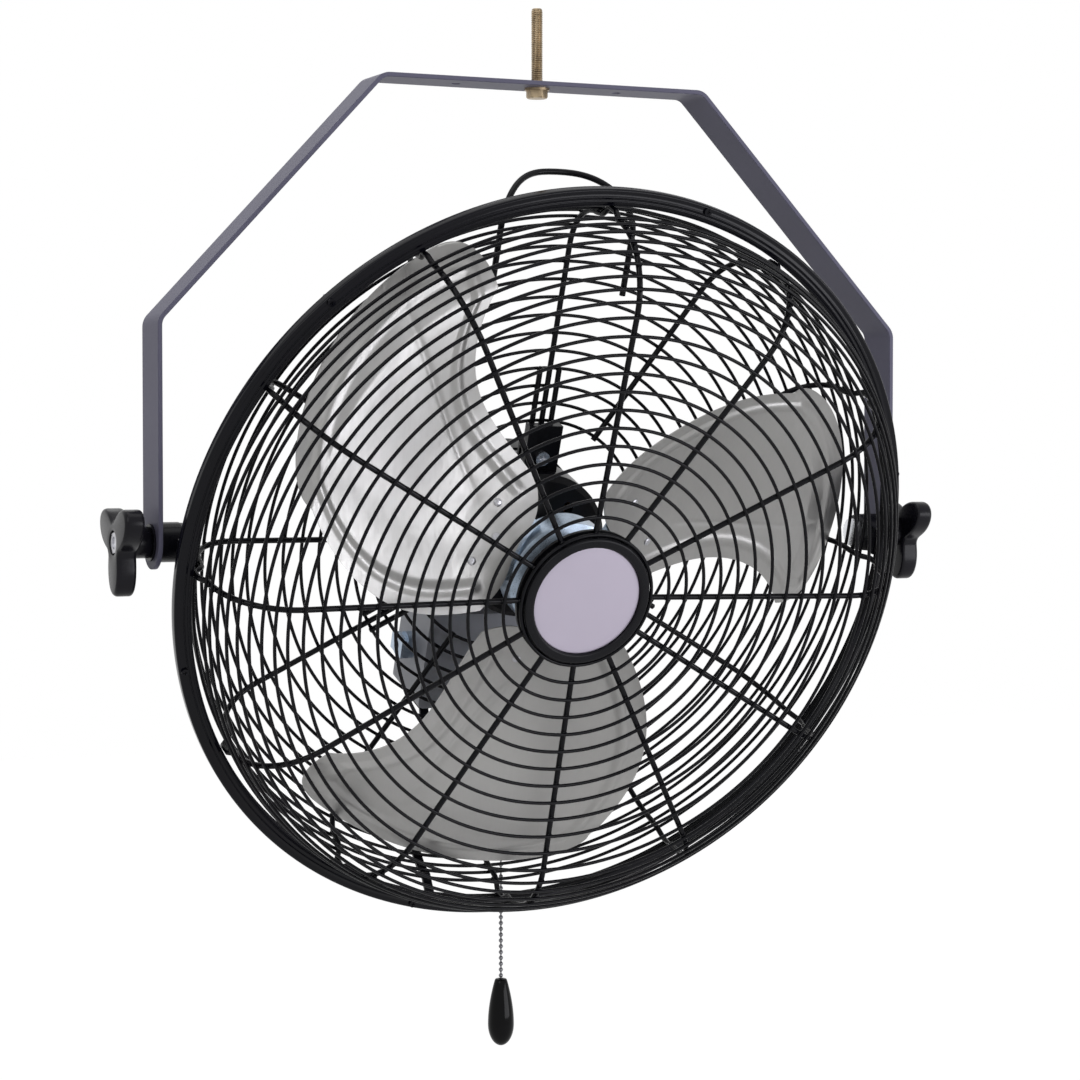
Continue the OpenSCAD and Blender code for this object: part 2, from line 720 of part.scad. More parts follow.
module windings() {
  in_r = rotor_d / 2 + 3.2;
  end_l = 8;
  color([0.6, 0.3, 0.12]) fan() {
    for (f = [core_end - end_l - fit, core_f + fit]) translate([0, 0, f]) difference() {
      cylinder(r = in_r + 9.6, h = end_l);
      translate([0, 0, -1]) cylinder(r = in_r, h = end_l + 2);
    }
    for (k = [0:11]) rotate([0, 0, 30 * k]) translate([in_r + 0.2, -2.2, core_end - 1]) cube([9.2, 4.4, core_l + 2]);
  }
}

module rear_bell() {
  pocket = rear_end + 2;
  color([0.06, 0.06, 0.07]) fan() difference() {
    rotate_extrude($fn = 96) polygon([[motor_r, core_end], [motor_r, rear_end + 6], [motor_r - 6, rear_end], [0, rear_end],
      [0, pocket], [bearing_d / 2 + fit, pocket], [bearing_d / 2 + fit, pocket + bearing_w],
      [bearing_d / 2 + 3, pocket + bearing_w], [bearing_d / 2 + 5, rear_end + bell_t], [bell_in - 5, rear_end + bell_t],
      [bell_in, rear_end + bell_t + 5], [bell_in, core_end]]);
    at_motor_bolts() translate([0, 0, rear_end - 1]) cylinder(r = 2 + fit, h = 20);
    translate([0, -motor_r - 2, nipple_f]) rotate([-90, 0, 0]) cylinder(r = nipple_r + fit, h = 10);
  }
}

module motor_bolts() {
  color([0.6, 0.6, 0.64]) fan() at_motor_bolts() {
    translate([0, 0, rear_end]) cylinder(r = 2, h = core_l + rear_bell_l + 14);
    translate([0, 0, rear_end - 2.5]) hexagon(7, 2.5);
  }
}

module bearing(f) {
  color([0.7, 0.71, 0.74]) fan() translate([0, 0, f]) rotate_extrude($fn = 64) difference() {
    translate([shaft_r + fit, 0]) square([bearing_d / 2 - shaft_r - fit, bearing_w]);
    for (z = [-0.5, bearing_w - 0.5]) translate([bearing_d / 2 - 6.5, z]) square([3.5, 1]);
  }
}

module bearing_front() {
  bearing(nose_f - 2 - bearing_w);
}

module bearing_rear() {
  bearing(rear_end + 2);
}

module mount_screws() {
  head_h = 2.4;
  low = clamp_f - 3.5;
  top = arm_f + arm_t;
  color([0.76, 0.77, 0.8]) fan() at_arms() translate([arm_screw_r, 0, 0]) difference() {
    union() {
      translate([0, 0, low]) cylinder(d = arm_screw_d, h = top - low + 1);
      translate([0, 0, top]) cylinder(d = 2 * arm_screw_d, h = head_h);
    }
    for (a = [0, 90]) rotate([0, 0, a]) translate([-2.4, -0.6, top + head_h - 1.4]) cube([4.8, 1.2, 3]);
  }
}

module mount_clamps() {
  reach = 22;
  color([0.1, 0.1, 0.11]) fan() at_arms() translate([0, 0, clamp_f - 2.5]) difference() {
    translate([arm_screw_r - reach / 2 + 3, -arm_w / 2, 0]) cube([reach - 3, arm_w, 2.5]);
    translate([arm_screw_r, 0, -1]) cylinder(d = arm_screw_d + 2 * fit, h = 5);
  }
}

// Rotor, hub and blades

module shaft() {
  tip = hub_front + 8;
  color([0.7, 0.71, 0.74]) fan() {
    translate([0, 0, rear_end + 2.5]) cylinder(r = shaft_r, h = hub_front - rear_end - 2.5);
    translate([0, 0, hub_front - 1]) cylinder(r = shaft_r - 1, h = tip - hub_front + 1);
  }
}

module rotor() {
  color([0.5, 0.5, 0.52]) fan() translate([0, 0, core_end + 0.5]) difference() {
    union() {
      cylinder(d = rotor_d, h = core_l - 1);
      translate([0, 0, -2.5]) cylinder(d = rotor_d - 6, h = core_l + 4);
    }
    translate([0, 0, -4]) cylinder(r = shaft_r + fit, h = core_l + 8);
  }
}

// Blade surface: r is the distance from the axis, u runs from the rear edge (0) to the front edge (1)
mid_r = 130;
function rear_a(r) = -0.8 - 9 * pow((mid_r - min(r, tip_r0)) / 60, 2);
function front_a(r) = let (t = (min(r, tip_r0) - 70) / 128) 75.4 - 31.9 * t + 12 * t * (1 - t);
function rear_f(r) = r < mid_r ? 16 + 19.6 * pow((mid_r - r) / 85, 2) : 16 - 9.3 * pow((r - mid_r) / 68, 3);
function front_f(r) = 59 + 12.4 * pow(sin(max(0, min(180, 90 * (r - 58) / 84))), 2) - max(0, r - 190) * 0.2;
function hollow(r) = blade_camber * min(1, max(0, (r - root_r) / 40));
function blade_pt(r, u, up) = let (a = rear_a(r) + (front_a(r) - rear_a(r)) * u)
  [r * cos(a), r * sin(a), rear_f(r) + (front_f(r) - rear_f(r)) * u - hollow(r) * 4 * u * (1 - u) + up];
function tip_at(u) = let (k = 0.22) tip_r0 + (tip_r - tip_r0) * (u < k
  ? sqrt(1 - pow((k - u) / k, 4))
  : pow(1 - pow((u - k) / (1 - k), 2.2), 0.55));
function root_at(u) = root_r + 22 * pow(abs(2 * u - 1), 4);

// A sheet between heights lo and hi over the grid of points given by rs(u) and the steps of u
module sheet(lo, hi, u0, u1, r0, r1, nu, nv) {
  whole = r1 == 0;
  pts = [for (h = [lo, hi]) for (i = [0:nu]) for (j = [0:nv])
    let (u = u0 + (u1 - u0) * (1 - cos(180 * i / nu)) / 2,
      a = whole ? root_at(u) : r0,
      b = whole ? tip_at(u) : r1)
    blade_pt(a + (b - a) * j / nv, u, h)];
  w = nv + 1;
  n = (nu + 1) * w;
  low = [for (i = [0:nu - 1]) for (j = [0:nv - 1]) let (a = i * w + j) each [[a, a + w + 1, a + w], [a, a + 1, a + w + 1]]];
  high = [for (i = [0:nu - 1]) for (j = [0:nv - 1]) let (a = n + i * w + j) each [[a, a + w, a + w + 1], [a, a + w + 1, a + 1]]];
  edge = concat([for (i = [0:nu - 1]) [i * w, (i + 1) * w]], [for (j = [0:nv - 1]) [nu * w + j, nu * w + j + 1]],
    [for (i = [nu:-1:1]) [i * w + nv, (i - 1) * w + nv]], [for (j = [nv:-1:1]) [j, j - 1]]);
  rim = [for (e = edge) each [[e[0], e[1], e[1] + n], [e[0], e[1] + n, e[0] + n]]];
  polyhedron(pts, [for (t = concat(low, high, rim)) [t[2], t[1], t[0]]], convexity = 6);
}

// Rivets: radius and fraction across the blade
rivet_at = [[root_r + 26, 0.3], [root_r + 15, 0.5], [root_r + 26, 0.7]];

module at_rivets() {
  for (p = rivet_at)
    let (c = blade_pt(p[0], p[1], 0),
      n = unit(cross(blade_pt(p[0] + 1, p[1], 0) - c, blade_pt(p[0], p[1] + 0.01, 0) - c)))
    translate(c) rotate([0, acos(n[2]), atan2(n[1], n[0])]) children();
}

module blade(k) {
  color(k == 2 ? [0.86, 0.86, 0.9] : [0.5, 0.49, 0.48]) fan() rotate([0, 0, 360 / blade_n * (k - 1)]) difference() {
    sheet(-blade_t / 2, blade_t / 2, 0, 1, 0, 0, 16, 14);
    at_rivets() translate([0, 0, -5]) cylinder(d = rivet_d + 2 * fit, h = 10, $fn = 24);
  }
}

module blade_1() {
  blade(1);
}

module blade_2() {
  blade(2);
}

module blade_3() {
  blade(3);
}

module blade_hub() {
  hub_r = hub_d / 2;
  neck_f = hub_front - 6;
  color([0.6, 0.64, 0.7]) fan() difference() {
    union() {
      rotate_extrude($fn = 96) polygon([[hub_r, hub_back], [hub_r, neck_f], [hub_nose_d / 2, hub_front - 2],
        [hub_nose_d / 2 - 2, hub_front], [0, hub_front], [0, hub_front - hub_t], [hub_nose_d / 2 - 3, hub_front - hub_t],
        [hub_r - hub_t, neck_f - 1], [hub_r - hub_t, hub_back]]);
      translate([0, 0, hub_back + 4]) cylinder(r = shaft_r + 7, h = hub_front - hub_back - 5);
    }
    translate([0, 0, hub_back]) cylinder(r = shaft_r + fit, h = hub_front);
  }
}

// Plates welded round the hub cup, which follow the backs of the blades
module hub_arms() {
  under = blade_t / 2 + 0.15;
  color([0.6, 0.64, 0.7]) fan() for (k = [1:blade_n]) rotate([0, 0, 360 / blade_n * (k - 1)]) difference() {
    sheet(-under - hub_t, -under, 0.2, 0.8, hub_d / 2 + seat, root_r + 33, 8, 4);
    at_rivets() translate([0, 0, -6]) cylinder(d = rivet_d + 2 * fit, h = 10, $fn = 24);
  }
}

module rivets() {
  under = blade_t + 0.15 + hub_t;
  color([0.62, 0.62, 0.64]) fan() for (k = [1:blade_n]) rotate([0, 0, 360 / blade_n * (k - 1)]) at_rivets() {
    translate([0, 0, -under - 0.6]) cylinder(d = rivet_d, h = under + blade_t + 0.5, $fn = 24);
    translate([0, 0, blade_t / 2 + 0.25]) cylinder(d = rivet_head_d, h = rivet_head_h, $fn = 24);
    translate([0, 0, -under - 1.2]) cylinder(d = 1.5 * rivet_d, h = 1.2, $fn = 24);
  }
}

module shaft_nut() {
  color([0.6, 0.6, 0.64]) fan() translate([0, 0, hub_front]) difference() {
    hexagon(1.4 * shaft_d, 6);
    translate([0, 0, -1]) cylinder(r = shaft_r - 1 + fit, h = 8);
  }
}

// Switch box

box_y = box_top - box_h / 2;

module at_box_screws() {
  for (x = [-1, 1]) for (y = [-1, 1]) translate([box_x + x * (box_w / 2 - 6), box_y + y * (box_h / 2 - 6), 0]) children();
}

module box_nipple() {
  top = -bell_in + 1;
  color([0.1, 0.1, 0.11]) fan() translate([0, 0, nipple_f]) rotate([90, 0, 0]) difference() {
    union() {
      translate([0, 0, -top]) cylinder(r = nipple_r, h = top - box_top + box_t + 3);
      translate([0, 0, motor_r + 0.5]) cylinder(r = nipple_r + 2.5, h = -box_top - motor_r - 0.6);
      translate([0, 0, -box_top + box_t + 0.1]) cylinder(r = nipple_r + 2.5, h = 2.8);
    }
    translate([0, 0, -top - 1]) cylinder(r = nipple_r - 2, h = 40);
  }
}

module switch_box() {
  color([0.42, 0.42, 0.46]) fan() difference() {
    union() {
      difference() {
        translate([box_x, box_y, box_back]) round_box(box_w, box_h, box_depth, box_corner);
        translate([box_x, box_y, box_back - 1]) round_box(box_w - 2 * box_t, box_h - 2 * box_t, box_depth - box_t + 1, box_corner - box_t + 0.5);
      }
      at_box_screws() translate([0, 0, box_back]) cylinder(r = 4.2, h = boss_l);
    }
    at_box_screws() translate([0, 0, box_back - 1]) cylinder(r = 1.5 + fit, h = 14);
    translate([0, box_top - 4, nipple_f]) rotate([-90, 0, 0]) cylinder(r = nipple_r + fit, h = 8);
    translate([chain_x, box_low - 1, -chain_f]) rotate([-90, 0, 0]) cylinder(r = nozzle_r + fit, h = box_t + 2);
    translate([box_x - box_w / 2 - 1, box_y + 1, -chain_f]) rotate([0, 90, 0]) cylinder(r = 7 + fit, h = box_t + 2);
  }
}

module box_cover() {
  color([0.42, 0.42, 0.46]) fan() difference() {
    translate([box_x, box_y, box_back - box_t]) round_box(box_w, box_h, box_t, box_corner);
    at_box_screws() translate([0, 0, box_back - 5]) cylinder(r = 1.5 + fit, h = 10);
  }
}

module box_screws() {
  color([0.6, 0.6, 0.64]) fan() at_box_screws() {
    translate([0, 0, box_back - box_t]) cylinder(r = 1.5, h = 12);
    translate([0, 0, box_back - box_t - 1.6]) cylinder(r = 3, h = 1.6);
  }
}

module capacitor() {
  r = 11;
  color([0.75, 0.75, 0.72]) fan() translate([box_x - 18, box_y - box_h / 2 + box_t + 14 + r, box_back + box_t + r])
    rotate([0, 90, 0]) cylinder(r = r, h = 40);
  color([0.75, 0.75, 0.72]) fan() translate([box_x - 8, box_y - box_h / 2 + box_t + 14, box_back + 0.1]) cube([20, 2 * r, 5]);
}

module pull_switch() {
  color([0.12, 0.12, 0.13]) fan() difference() {
    translate([chain_x - switch_w / 2, box_low + box_t, -chain_f - switch_w / 2]) cube([switch_w, switch_h, switch_w]);
    translate([chain_x, box_low - 1, -chain_f]) rotate([-90, 0, 0]) cylinder(r = stem_r + fit, h = switch_h);
  }
}

module switch_nozzle() {
  color([0.66, 0.67, 0.7]) fan() translate([chain_x, box_low + box_t, -chain_f]) rotate([90, 0, 0]) difference() {
    union() {
      cylinder(r = nozzle_r, h = box_t + nozzle_l);
      translate([0, 0, box_t]) hexagon(13, 2.6);
    }
    translate([0, 0, -1]) cylinder(r = stem_r + fit, h = box_t + nozzle_l + 2);
  }
}

module cable_connector() {
  color([0.6, 0.66, 0.74]) fan() translate([box_x - box_w / 2 + box_t + 3, box_y + 1, -chain_f]) rotate([0, -90, 0]) difference() {
    union() {
      cylinder(r = 7, h = box_t + 14);
      cylinder(r = 9.5, h = 2.9);
      translate([0, 0, box_t + 3]) cylinder(r = 9.5, h = 5);
      translate([-10, -6, box_t + 8]) cube([20, 12, 6]);
    }
    translate([0, 0, -1]) cylinder(r = 4.2, h = box_t + 20);
    for (x = [-8.4, 8.4]) translate([x, -7, box_t + 11]) rotate([-90, 0, 0]) cylinder(r = 1.3, h = 14, $fn = 24);
  }
}

// Offset of one unit to the left of a flat path at its point i
function mitre(p, i) = let (
    a = unit(i == 0 ? p[1] - p[0] : p[i] - p[i - 1]),
    b = unit(i == len(p) - 1 ? p[i] - p[i - 1] : p[i + 1] - p[i]),
    n = unit([-a[1] - b[1], a[0] + b[0]]))
  n / (n * [-a[1], a[0]]);

// Support strut from the bottom of the box, round the rear guard, to the rim
module support_strut() {
  gap = ring_d / 2 + strut_t / 2 + 0.9;
  x = abs(strut_x);
  path = concat(
    [[-box_low + strut_t / 2 + seat, box_back + 14], [-box_low + strut_t / 2 + seat, -box_front - 4],
      [-box_low + 10, -rear_ring_f - gap]],
    [for (a = [0:5:90]) [sqrt(pow(rear_arc_r + (rear_corner + gap) * sin(a), 2) - x * x), rear_arc_f - (rear_corner + gap) * cos(a)]],
    [[sqrt(pow(rim_r - 5, 2) - x * x), rim_back - strut_t / 2 - 0.1]]);
  line = [for (p = path) [-p[0], p[1]]];
  left = [for (i = [0:len(line) - 1]) line[i] + strut_t / 2 * mitre(line, i)];
  right = [for (i = [len(line) - 1:-1:0]) line[i] - strut_t / 2 * mitre(line, i)];
  color([0.05, 0.05, 0.06]) fan() translate([strut_x - strut_w / 2, 0, 0]) rotate([90, 0, 90])
    linear_extrude(strut_w) polygon(concat(left, right));
}

// Pull chain, hanging straight down from the switch
module pull_stem() {
  color([0.55, 0.55, 0.56]) fan() translate([chain_x, stem_top, -chain_f]) rotate([90, 0, 0]) {
    cylinder(r = stem_r, h = stem_top - eye_y);
    translate([-stem_r, 0, stem_top - eye_y]) rotate([0, 90, 0]) cylinder(r = stem_r + 0.4, h = 2 * stem_r);
  }
}

module chain_place() {
  translate([chain_x, chain_y, chain_z - stem_r - 0.4]) children();
}

module pull_chain() {
  color([0.35, 0.35, 0.36]) chain_place() {
    translate([0, 0, -bead_pitch * bead_n]) cylinder(r = bead_d / 5, h = bead_pitch * bead_n - 0.3, $fn = 16);
    for (k = [0:bead_n - 1]) translate([0, 0, -bead_pitch * (k + 0.5)]) sphere(d = bead_d, $fn = 24);
  }
}

// Teardrop pull: a long taper above a round end
module chain_pull() {
  r = pull_w / 2;
  neck = pull_neck_w / 2;
  low = 0.32 * pull_l;
  color([0.03, 0.03, 0.03]) chain_place() translate([0, 0, -bead_pitch * bead_n - pull_l]) rotate_extrude($fn = 64)
    polygon(concat([[0, 0]],
      [for (a = [10:10:90]) [r * sin(a), low * (1 - cos(a))]],
      [for (t = [0.1:0.1:1]) [neck + (r - neck) * pow(max(0, cos(90 * t)), 0.9), low + (pull_l - low - 1) * t]],
      [[neck - 1, pull_l], [0, pull_l]]));
}

yoke();
hanger_bolt();
hanger_washer();
knob_left();
knob_right();
knob_nut_left();
knob_nut_right();
knob_washers();
spacers();
pivot_bolts();
ear_left();
ear_right();
rim_ring();
rim_screws();
rim_nuts();
front_rings();
front_spokes();
hub_plate();
hub_cap();
badge_disc();
cap_screw();
rear_rings();
rear_spokes();
mount_bars();
carry_handle();
front_bell();
stator_core();
windings();
rear_bell();
motor_bolts();
bearing_front();
bearing_rear();
mount_screws();
mount_clamps();
shaft();
rotor();
blade_hub();
hub_arms();
shaft_nut();
blade_1();
blade_2();
blade_3();
rivets();
box_nipple();
switch_box();
box_cover();
box_screws();
capacitor();
pull_switch();
switch_nozzle();
cable_connector();
support_strut();
pull_stem();
pull_chain();
chain_pull();
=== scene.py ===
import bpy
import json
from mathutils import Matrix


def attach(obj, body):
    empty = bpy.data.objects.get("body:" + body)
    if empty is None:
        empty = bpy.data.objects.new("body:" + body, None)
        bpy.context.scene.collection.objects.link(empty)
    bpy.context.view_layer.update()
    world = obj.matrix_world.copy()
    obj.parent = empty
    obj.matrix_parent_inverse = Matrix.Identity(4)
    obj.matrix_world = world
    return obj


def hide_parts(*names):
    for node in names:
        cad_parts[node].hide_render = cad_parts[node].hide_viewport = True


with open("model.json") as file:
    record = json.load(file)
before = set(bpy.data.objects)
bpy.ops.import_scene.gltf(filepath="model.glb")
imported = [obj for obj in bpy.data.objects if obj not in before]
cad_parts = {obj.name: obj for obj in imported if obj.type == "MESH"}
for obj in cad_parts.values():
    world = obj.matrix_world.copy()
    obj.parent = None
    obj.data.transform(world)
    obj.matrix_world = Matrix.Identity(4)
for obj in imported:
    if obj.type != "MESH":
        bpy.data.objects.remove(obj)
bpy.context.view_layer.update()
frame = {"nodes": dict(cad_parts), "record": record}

import bmesh
import bpy
import json
import math
from math import cos, sin, pi, radians, sqrt
from mathutils import Matrix, Vector

# Lengths are in millimetres, and MM turns them into the scene's metres. The camera, the
# lamps, the floor and a material's bump are given in metres.
MM = 0.001
PIVOT_DROP = 308           # from the yoke's top face down to the pivot axis
TILT = radians(21)         # the head's tilt at rest, forward and down
DROP = PIVOT_DROP * MM
AXIS = 9 * MM              # from the pivot axis down to the fan's axis

# Guards: radii, and distances forward of the pivot axis along the fan's axis
RING_D, SPOKE_D, END_RING_D = 2.4, 4.0, 2.9
OFF = (RING_D + SPOKE_D) / 2   # from a ring's middle to a spoke's
WIRE_R = SPOKE_D / 2 - 0.05    # drawn radius of a spoke and of a motor bar
RING_R0, RING_PITCH, RING_N, REAR_SKIP = 47, 12.6, 13, 3
CORNER_R0, CORNER_PITCH, CORNER_N = 208.4, 8.2, 9
FRONT_F, DISH, REAR_F = 94.4, 6.4, -24.5
FRONT_ARC, REAR_ARC = (50, 200, 44.4), (36, 210, 11.5)    # a corner's radius and centre
SLOPE = DISH / (FRONT_ARC[1] - RING_R0)
SPOKE_N, SPOKE_END_R, REAR_SPOKE_R = 12, 251.3, 82.4
END_RING_R, END_RING_FRONT, END_RING_REAR = 255.15, 32.5, 29.5
WELD_IN = 1.25                 # from a ring's middle to the middle of its welds
WELD = [(0, -0.9), (1.5, -0.6), (1.9, 0), (1.4, 0.65), (0, 0.85)]
HANDLE_WELD = [(0, -0.9), (1.6, -0.6), (2.1, 0), (1.5, 0.65), (0, 0.85)]
PAIR_Y, PAIR_IN, PAIR_OUT = 7, 54, 124     # motor bars, in pairs
HANDLE_X, HANDLE_KNEE, HANDLE_TOP, HANDLE_REACH = 48.5, 217, 250, 31

# Rim: outer radius, faces, sheet, outer edges' rounding, inner edge of its flanges
RIM_R, RIM_FRONT, RIM_BACK, RIM_T, RIM_EDGE, LIP_R = 265, 35.0, 27.0, 1.0, 1.5, 253.6

# Blades: radii, half the sheet, the pressed bead, the fold and the crease in it
BLADE_ROOT, BLADE_MID, BLADE_TIP, TIP_REACH = 43, 130, 198, 35.3
BLADE_HALF_T = 0.6
PRESS_IN, PRESS_HALF_W, PRESS_H = 15, 6.5, 1.9
FOLD_HALF_W, FOLD_H, CREASE_W, CREASE_H = 44, 2.2, 1.9, 0.7

# Yoke: outer face of a leg, outer corners, bar and holes
LEG_X, SHOULDER_X, SHOULDER_Z = 273, 119, -164.5
BAR_HALF_W, BAR_T, YOKE_BEND_R = 17.5, 3.0, 12.0
BOLT_HOLE_R, SCREW_HOLE_R, SCREW_HOLE_X = 4.05, 3.25, 60

# Pull chain: balls, and the switch's eye right of, behind and below the pivot
BALL_PITCH, BALL_N, BALL_R = 4.25, 47, 1.6
CHAIN_X, CHAIN_BACK, CHAIN_DOWN = 21, 58, 154

# Studio
LIT = (0, 0, -0.3)             # what the lamps look at
FLOOR_HALF, FLOOR_Z = 7.0, -1.25

# Frames of the object: the fan's own frame has x right, y up, z forward along its axis
PIVOT = Matrix.Translation((0, 0, -DROP)) @ Matrix.Rotation(TILT, 4, "X")
FAN = PIVOT @ Matrix.Translation((0, 0, -AXIS)) @ Matrix.Rotation(pi / 2, 4, "X")


# Camera

PHOTO_SIZE = 1080
FOCAL_PX = 2791.46
CENTRE_PX = (541.25, 539.22)
SENSOR = 36


def place_camera():
    """Camera that sees the part as the photograph does; all numbers come from its fit."""
    yaw, pitch = radians(24.599), radians(-1.9464)
    d = Vector((sin(yaw) * cos(pitch), cos(yaw) * cos(pitch), sin(pitch)))
    r = d.cross(Vector((0, 0, 1))).normalized()
    u = r.cross(d)
    m = Matrix((r, u, -d)).transposed().to_4x4()
    m.translation = Vector((-0.79186, -1.73666, 0.06303 - DROP))
    cam = bpy.data.cameras.new("camera")
    cam.lens = SENSOR * FOCAL_PX / PHOTO_SIZE
    cam.sensor_width = SENSOR
    cam.shift_x = (PHOTO_SIZE / 2 - CENTRE_PX[0]) / PHOTO_SIZE
    cam.shift_y = (CENTRE_PX[1] - PHOTO_SIZE / 2) / PHOTO_SIZE
    cam.clip_start = 0.05
    cam.clip_end = 60
    ob = bpy.data.objects.new("camera", cam)
    ob.matrix_world = m
    bpy.context.scene.collection.objects.link(ob)
    bpy.context.scene.camera = ob


# Materials

def new_mat(name):
    m = bpy.data.materials.new(name)
    m.use_nodes = True
    nt = m.node_tree
    bsdf = next(n for n in nt.nodes if n.type == "BSDF_PRINCIPLED")
    return m, nt, bsdf


def noise(nt, scale, detail, rough=0.5, stretch=None):
    tc = nt.nodes.new("ShaderNodeTexCoord")
    tex = nt.nodes.new("ShaderNodeTexNoise")
    tex.inputs["Scale"].default_value = scale
    tex.inputs["Detail"].default_value = detail
    tex.inputs["Roughness"].default_value = rough
    if stretch:
        mp = nt.nodes.new("ShaderNodeMapping")
        mp.inputs["Scale"].default_value = stretch
        nt.links.new(tc.outputs["Object"], mp.inputs["Vector"])
        nt.links.new(mp.outputs["Vector"], tex.inputs["Vector"])
    else:
        nt.links.new(tc.outputs["Object"], tex.inputs["Vector"])
    return tex.outputs["Fac"]


def ramp(nt, fac, stops):
    cr = nt.nodes.new("ShaderNodeValToRGB")
    el = cr.color_ramp.elements
    while len(el) < len(stops):
        el.new(0.5)
    for e, (p, c) in zip(el, stops):
        e.position = p
        e.color = (*c, 1)
    nt.links.new(fac, cr.inputs["Fac"])
    return cr.outputs["Color"]


def span(nt, fac, lo, hi):
    """The noise's middle range, 0.3 to 0.7, spread over lo to hi."""
    mr = nt.nodes.new("ShaderNodeMapRange")
    mr.inputs["From Min"].default_value = 0.3
    mr.inputs["From Max"].default_value = 0.7
    mr.inputs["To Min"].default_value = lo
    mr.inputs["To Max"].default_value = hi
    nt.links.new(fac, mr.inputs["Value"])
    return mr.outputs["Result"]


def bump(nt, bsdf, height, strength, distance):
    b = nt.nodes.new("ShaderNodeBump")
    b.inputs["Strength"].default_value = strength
    b.inputs["Distance"].default_value = distance
    nt.links.new(height, b.inputs["Height"])
    nt.links.new(b.outputs["Normal"], bsdf.inputs["Normal"])


def shade(c, k):
    return tuple(max(0.0, min(1.0, v * k)) for v in c)


def surface(name, base, metal, rough, var, patch, grain, depth,
            spec=0.5, coat=0.0, coat_rough=0.1, stretch=None):
    """A material with patches of colour and a fine grain.

    rough: least and greatest roughness; var: how far the colour varies;
    patch, grain: noise scales; depth: strength and distance of the bump.
    """
    m, nt, bsdf = new_mat(name)
    big = noise(nt, patch, 5)
    fine = noise(nt, grain, 3, 0.6, stretch)
    col = ramp(nt, big, [(0.3, shade(base, 1 - var)), (0.7, shade(base, 1 + var))])
    nt.links.new(col, bsdf.inputs["Base Color"])
    nt.links.new(span(nt, fine, *rough), bsdf.inputs["Roughness"])
    bsdf.inputs["Metallic"].default_value = metal
    bsdf.inputs["Specular IOR Level"].default_value = spec
    bsdf.inputs["Coat Weight"].default_value = coat
    bsdf.inputs["Coat Roughness"].default_value = coat_rough
    bump(nt, bsdf, fine, *depth)
    return m


# slot: name, base colour, metallic, roughness, variation, patch, grain, bump
MATS = {
    "yoke_paint": surface(
        "yoke_powder_coat", (0.135, 0.131, 0.190), 0.0, (0.46, 0.50),
        0.05, 25, 420, (0.05, 0.00001), spec=0.18),
    "bolt_zinc": surface(
        "bolt_yellow_zinc", (0.36, 0.28, 0.18), 0.9, (0.28, 0.5),
        0.3, 160, 2500, (0.3, 0.00003)),
    "knob_plastic": surface(
        "knob_moulded", (0.008, 0.0075, 0.011), 0.0, (0.20, 0.30),
        0.15, 60, 2200, (0.08, 0.00002), spec=0.14),
    "nut_steel": surface(
        "nut_steel", (0.5, 0.5, 0.53), 1.0, (0.25, 0.4),
        0.12, 200, 2500, (0.2, 0.00003)),
    "black_steel": surface(
        "black_steel", (0.005, 0.005, 0.008), 0.0, (0.22, 0.34),
        0.2, 80, 2200, (0.1, 0.00002), spec=0.14),
    "bright_steel": surface(
        "bright_steel", (0.72, 0.73, 0.76), 1.0, (0.18, 0.34),
        0.08, 200, 2600, (0.2, 0.00003)),
    "rim_gloss": surface(
        "rim_gloss_black", (0.003, 0.003, 0.006), 0.0, (0.13, 0.20),
        0.15, 30, 1200, (0.06, 0.00002), spec=0.14),
    "wire_gloss": surface(
        "wire_gloss_black", (0.003, 0.003, 0.005), 0.0, (0.14, 0.22),
        0.15, 60, 1400, (0.06, 0.00002), spec=0.12),
    "cap_plastic": surface(
        "cap_moulded", (0.005, 0.005, 0.007), 0.0, (0.22, 0.32),
        0.15, 60, 2400, (0.08, 0.00002), spec=0.14),
    "badge_face": surface(
        "badge_satin", (0.53, 0.48, 0.58), 0.35, (0.34, 0.44),
        0.03, 20, 3000, (0.12, 0.00002), coat=0.2, coat_rough=0.2),
    "motor_cast": surface(
        "motor_cast_black", (0.004, 0.004, 0.006), 0.0, (0.26, 0.38),
        0.25, 90, 900, (0.25, 0.00006), spec=0.14),
    "core_steel": surface(
        "core_laminated", (0.16, 0.16, 0.17), 0.8, (0.4, 0.55),
        0.2, 90, 700, (0.5, 0.0001), stretch=(0.2, 3, 3)),
    "winding_copper": surface(
        "winding_enamel", (0.35, 0.12, 0.04), 0.6, (0.3, 0.4),
        0.3, 300, 1500, (0.6, 0.0002)),
    "hub_zinc": surface(
        "hub_zinc_plate", (0.36, 0.43, 0.52), 1.0, (0.22, 0.42),
        0.18, 110, 2200, (0.2, 0.00004)),
    "box_grey": surface(
        "box_grey_paint", (0.36, 0.37, 0.41), 0.0, (0.4, 0.5),
        0.06, 40, 1500, (0.35, 0.00006)),
    "inner_plastic": surface(
        "inner_plastic", (0.03, 0.03, 0.033), 0.0, (0.45, 0.55),
        0.1, 80, 2200, (0.2, 0.00004)),
    "capacitor_case": surface(
        "capacitor_case", (0.5, 0.5, 0.46), 0.0, (0.4, 0.5),
        0.06, 80, 2200, (0.2, 0.00004)),
    "chain_steel": surface(
        "chain_dark_nickel", (0.16, 0.16, 0.17), 1.0, (0.2, 0.35),
        0.15, 200, 2200, (0.15, 0.00003)),
    "pull_gloss": surface(
        "pull_gloss_black", (0.002, 0.002, 0.0025), 0.0, (0.06, 0.10),
        0.1, 60, 2000, (0.05, 0.00002), spec=0.1),
}


